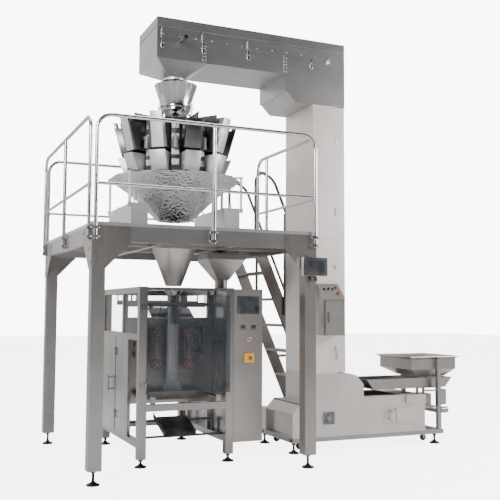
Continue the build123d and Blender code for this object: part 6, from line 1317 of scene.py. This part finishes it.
# ------------------------------------------------------------------ elevator
@dataclass
class Elevator:
    """Z-shaped bucket elevator with its boot, control box and feed hopper."""

    palette: Palette
    run_face: float = 655.0
    run_joints: tuple[float, ...] = (2110.0, 1200.0)
    latches: tuple[float, ...] = (756.0, 1188.0, 1684.0, 2420.0)
    seams: tuple[float, ...] = (3632.0, 2225.0)
    desk_out: Point = (0.0, -0.7429, 0.6694)

    def build(self) -> None:
        """Dresses the carried-over nodes and models the visible fittings."""
        dress(self.palette, {
            "elevator_top_housing": "run_sheet", "elevator_top_cover": "run_sheet",
            # The column and its door carry the column steel with its painted sheen.
            "elevator_column": "column_steel_painted_sheen", "column_door": "column_steel_painted_sheen", "elevator_boot": "boot_sheet",
            "elevator_base_frame": "leg_steel", "caster_wheels_left": "black_rubber",
            "caster_wheels_right": "black_rubber", "discharge_hopper": "bright_sheet",
            "head_sprockets": "dark_steel", "tail_sprockets": "dark_steel", "bucket_chain": "white_plastic",
            "drive_motor": "motor_paint", "control_box": "cabinet_sheet", "control_box_door": "cabinet_sheet",
            "speed_knob": "black_plastic", "emergency_button": "red_plastic", "feed_hopper": "hopper_sheet",
            "hopper_frame": "leg_steel", "vibrating_tray": "hopper_sheet",
        })
        self.run_fittings()
        self.column_fittings()
        self.desk()
        self.casters()
        self.hopper_rim()

    def rivet_line(self, name: str, start: Vector, step: Vector, count: int, out: Point) -> bpy.types.Object:
        """A row of domed rivets, the first at start."""
        rings = [(6.0 * MM, 0.0), (5.6 * MM, 1.6 * MM), (3.6 * MM, 2.8 * MM), (1.2 * MM, 3.2 * MM)]
        rivet = coat(turned(name, rings, Vector((0, 0, 0)), out, 10), self.palette["rail_steel"])
        return copies(rivet, [Matrix.Translation(start + step * index) for index in range(count)], name)

    def run_fittings(self) -> None:
        """The top run's section joints with their rivets, the row of rivets along the lid lip, and toggle latches."""
        face = self.run_face
        parts = []
        for x in self.run_joints:
            strip = slab("joint", LINE.at(x - 22, face - 2, 3942), LINE.at(x + 22, face + 1, 4140), 0.8 * MM, 1)
            parts.append(coat(strip, self.palette["run_sheet"]))
            for dx in (-12.0, 12.0):
                foot = LINE.at(x + dx, face - 2, 3965)
                parts.append(self.rivet_line("rivets", foot, Vector((0, 0, 36 * MM)), 5, (0, -1, 0)))
        for x in self.latches:
            parts += self.latch(LINE.at(x, face, 4090.0))
        parts.append(self.rivet_line("lip_rivets", LINE.at(760, 639, 4165), Vector((170 * MM, 0, 0)), 13, (0, -1, 0)))
        finished(joined(parts, "run_fittings"), None, ROOT)

    def latch(self, spot: Vector) -> list[bpy.types.Object]:
        """A toggle latch: base plate, lever, hook and pin.

        Args:
            spot: The latch's place on the sheet, in metres.

        Returns:
            The latch's parts.
        """
        x, y, z = spot
        base = slab("base", Vector((x - 0.016, y - 0.003, z - 0.045)), Vector((x + 0.016, y, z + 0.004)), 0.001)
        lever = slab("lever", Vector((x - 0.012, y - 0.011, z - 0.060)), Vector((x + 0.012, y - 0.003, z - 0.012)),
                     0.002)
        hook = slab("hook", Vector((x - 0.006, y - 0.009, z - 0.014)), Vector((x + 0.006, y - 0.004, z + 0.046)),
                    0.001)
        rings = [(0.004, 0.0), (0.005, 0.001), (0.005, 0.033), (0.004, 0.034)]
        pin = turned("pin", rings, Vector((x - 0.017, y - 0.007, z - 0.012)), (1, 0, 0), 12)
        return [coat(piece, self.palette["rail_steel"]) for piece in (base, lever, hook, pin)]

    def column_fittings(self) -> None:
        """Seam strips across the column's front, with rivets."""
        parts = []
        for z in self.seams:
            strip = slab("seam", LINE.at(2444, 649, z - 16), LINE.at(2731, 656, z + 16), 1 * MM, 1)
            # The seam strips share the column steel's painted sheen.
            parts.append(coat(strip, self.palette["column_steel_painted_sheen"]))
            parts.append(self.rivet_line("rivets", LINE.at(2462, 649, z), Vector((50 * MM, 0, 0)), 6, (0, -1, 0)))
        finished(joined(parts, "column_seams"), None, ROOT)

    def desk_point(self, across: float, share: float) -> Vector:
        """A point on the sloping desk, so far across in millimetres and so far up as a share."""
        return LINE.at(2478 + across, 500 + 155 * share, 1568 + 172 * share)

    def desk(self) -> None:
        """The sloping desk's knobs, lamps and button, and the box's louvres."""
        out = self.desk_out
        rings = [(8, -6), (8, 1), (13, 1.2), (13, 4), (11.5, 6), (11.5, 18), (9.5, 20), (3, 21)]
        knob = turned("speed_knob_detail", in_metres(rings), self.desk_point(110, 0.66), out, 24)
        finished(knob, self.palette["black_plastic"], "speed_knob", ["speed_knob"])
        rings = [(8, -6), (8, 8), (14.5, 8.2), (16, 10), (16, 15), (13, 18.5), (7, 20)]
        stop = turned("desk_stop_button", in_metres(rings), self.desk_point(205, 0.42), out, 32)
        finished(stop, self.palette["red_plastic"], "emergency_button", ["emergency_button"])
        parts = []
        for dx, share, look in ((60, 0.66, "black_plastic"), (160, 0.66, "black_plastic"),
                                (205, 0.75, "red_plastic")):
            rings = [(15, 1.5), (15, 3.5), (13.6, 4.5), (13.6, 9.4), (11, 11)]
            lamp = turned("lamp", in_metres(rings), self.desk_point(dx, share), out, 24)
            parts.append(coat(lamp, self.palette[look]))
        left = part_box("control_box")[0].x
        slat = slab("slat", Vector((left - 0.0035, 0.0, 0.0)), Vector((left + 0.002, 0.100, 0.009)), 0.0015)
        coat(slat, self.palette["cabinet_sheet"])
        start = LINE.at(0.0, 530.0, 1290.0)
        moves = [Matrix.Translation(Vector((0.0, start.y, start.z + row * 0.022))) for row in range(8)]
        parts.append(copies(slat, moves, "louvres"))
        finished(joined(parts, "desk_fittings"), None, ROOT)

    def casters(self) -> None:
        """Moulded wheels with rounded treads on their axles."""
        for name in ("caster_wheels_left", "caster_wheels_right"):
            low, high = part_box(name)
            radius = (high.z - low.z) / 2
            x, z = (low.x + high.x) / 2, (low.z + high.z) / 2
            parts = []
            for y0, y1 in self.wheel_faces(name):
                wide = y1 - y0
                rings = [(0.009, 0.0), (0.016, 0.0), (0.017, wide * 0.10), (radius - 0.010, wide * 0.14),
                         (radius - 0.005, 0.001), (radius, wide * 0.22), (radius, wide * 0.78),
                         (radius - 0.005, wide - 0.001),
                         (radius - 0.010, wide * 0.86), (0.017, wide * 0.90), (0.016, wide), (0.009, wide)]
                parts.append(turned("wheel", rings, Vector((x, y0, z)), (0, 1, 0), 32))
            finished(joined(parts, name + "_detail"), self.palette["black_rubber"], name, [name])

    def wheel_faces(self, name: str) -> list[tuple[float, float]]:
        """Where each wheel of a pair starts and ends along Y.

        Args:
            name: The pair's CAD node.

        Returns:
            The start and the end of each wheel, in metres.
        """
        spots = sorted((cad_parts[name].matrix_world @ v.co).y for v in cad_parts[name].data.vertices)
        faces = [[spots[0], spots[0]]]
        for y in spots:
            if y - faces[-1][1] > 0.1:
                faces.append([y, y])
            faces[-1][1] = y
        return [(a, b) for a, b in faces]

    def hopper_rim(self) -> None:
        """A rolled edge round the feed hopper's mouth."""
        low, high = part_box("feed_hopper")
        r = 0.005
        corners = [(low.x + r, low.y + r), (high.x - r, low.y + r), (high.x - r, high.y - r), (low.x + r, high.y - r)]
        parts = []
        for (ax, ay), (bx, by) in zip(corners, corners[1:] + corners[:1]):
            way = Vector((bx - ax, by - ay, 0.0))
            rings = [(r * 0.6, 0.0), (r, r * 0.4), (r, way.length - r * 0.4), (r * 0.6, way.length)]
            parts.append(turned("rim", rings, Vector((ax, ay, high.z - r)), tuple(way.normalized()), 12))
        finished(joined(parts, "hopper_rim"), self.palette["rail_steel"], ROOT)


def main() -> None:
    """Builds the studio and every sub-assembly in order."""
    logging.basicConfig(level=logging.INFO, format="%(message)s")
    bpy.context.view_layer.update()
    Studio().build()
    palette = Palette()
    palette.build()
    for maker in (Platform, Weigher, BagFormer, Elevator):
        maker(palette).build()
        LOG.info("built %s", maker.__name__)


if __name__ == "__main__":
    main()
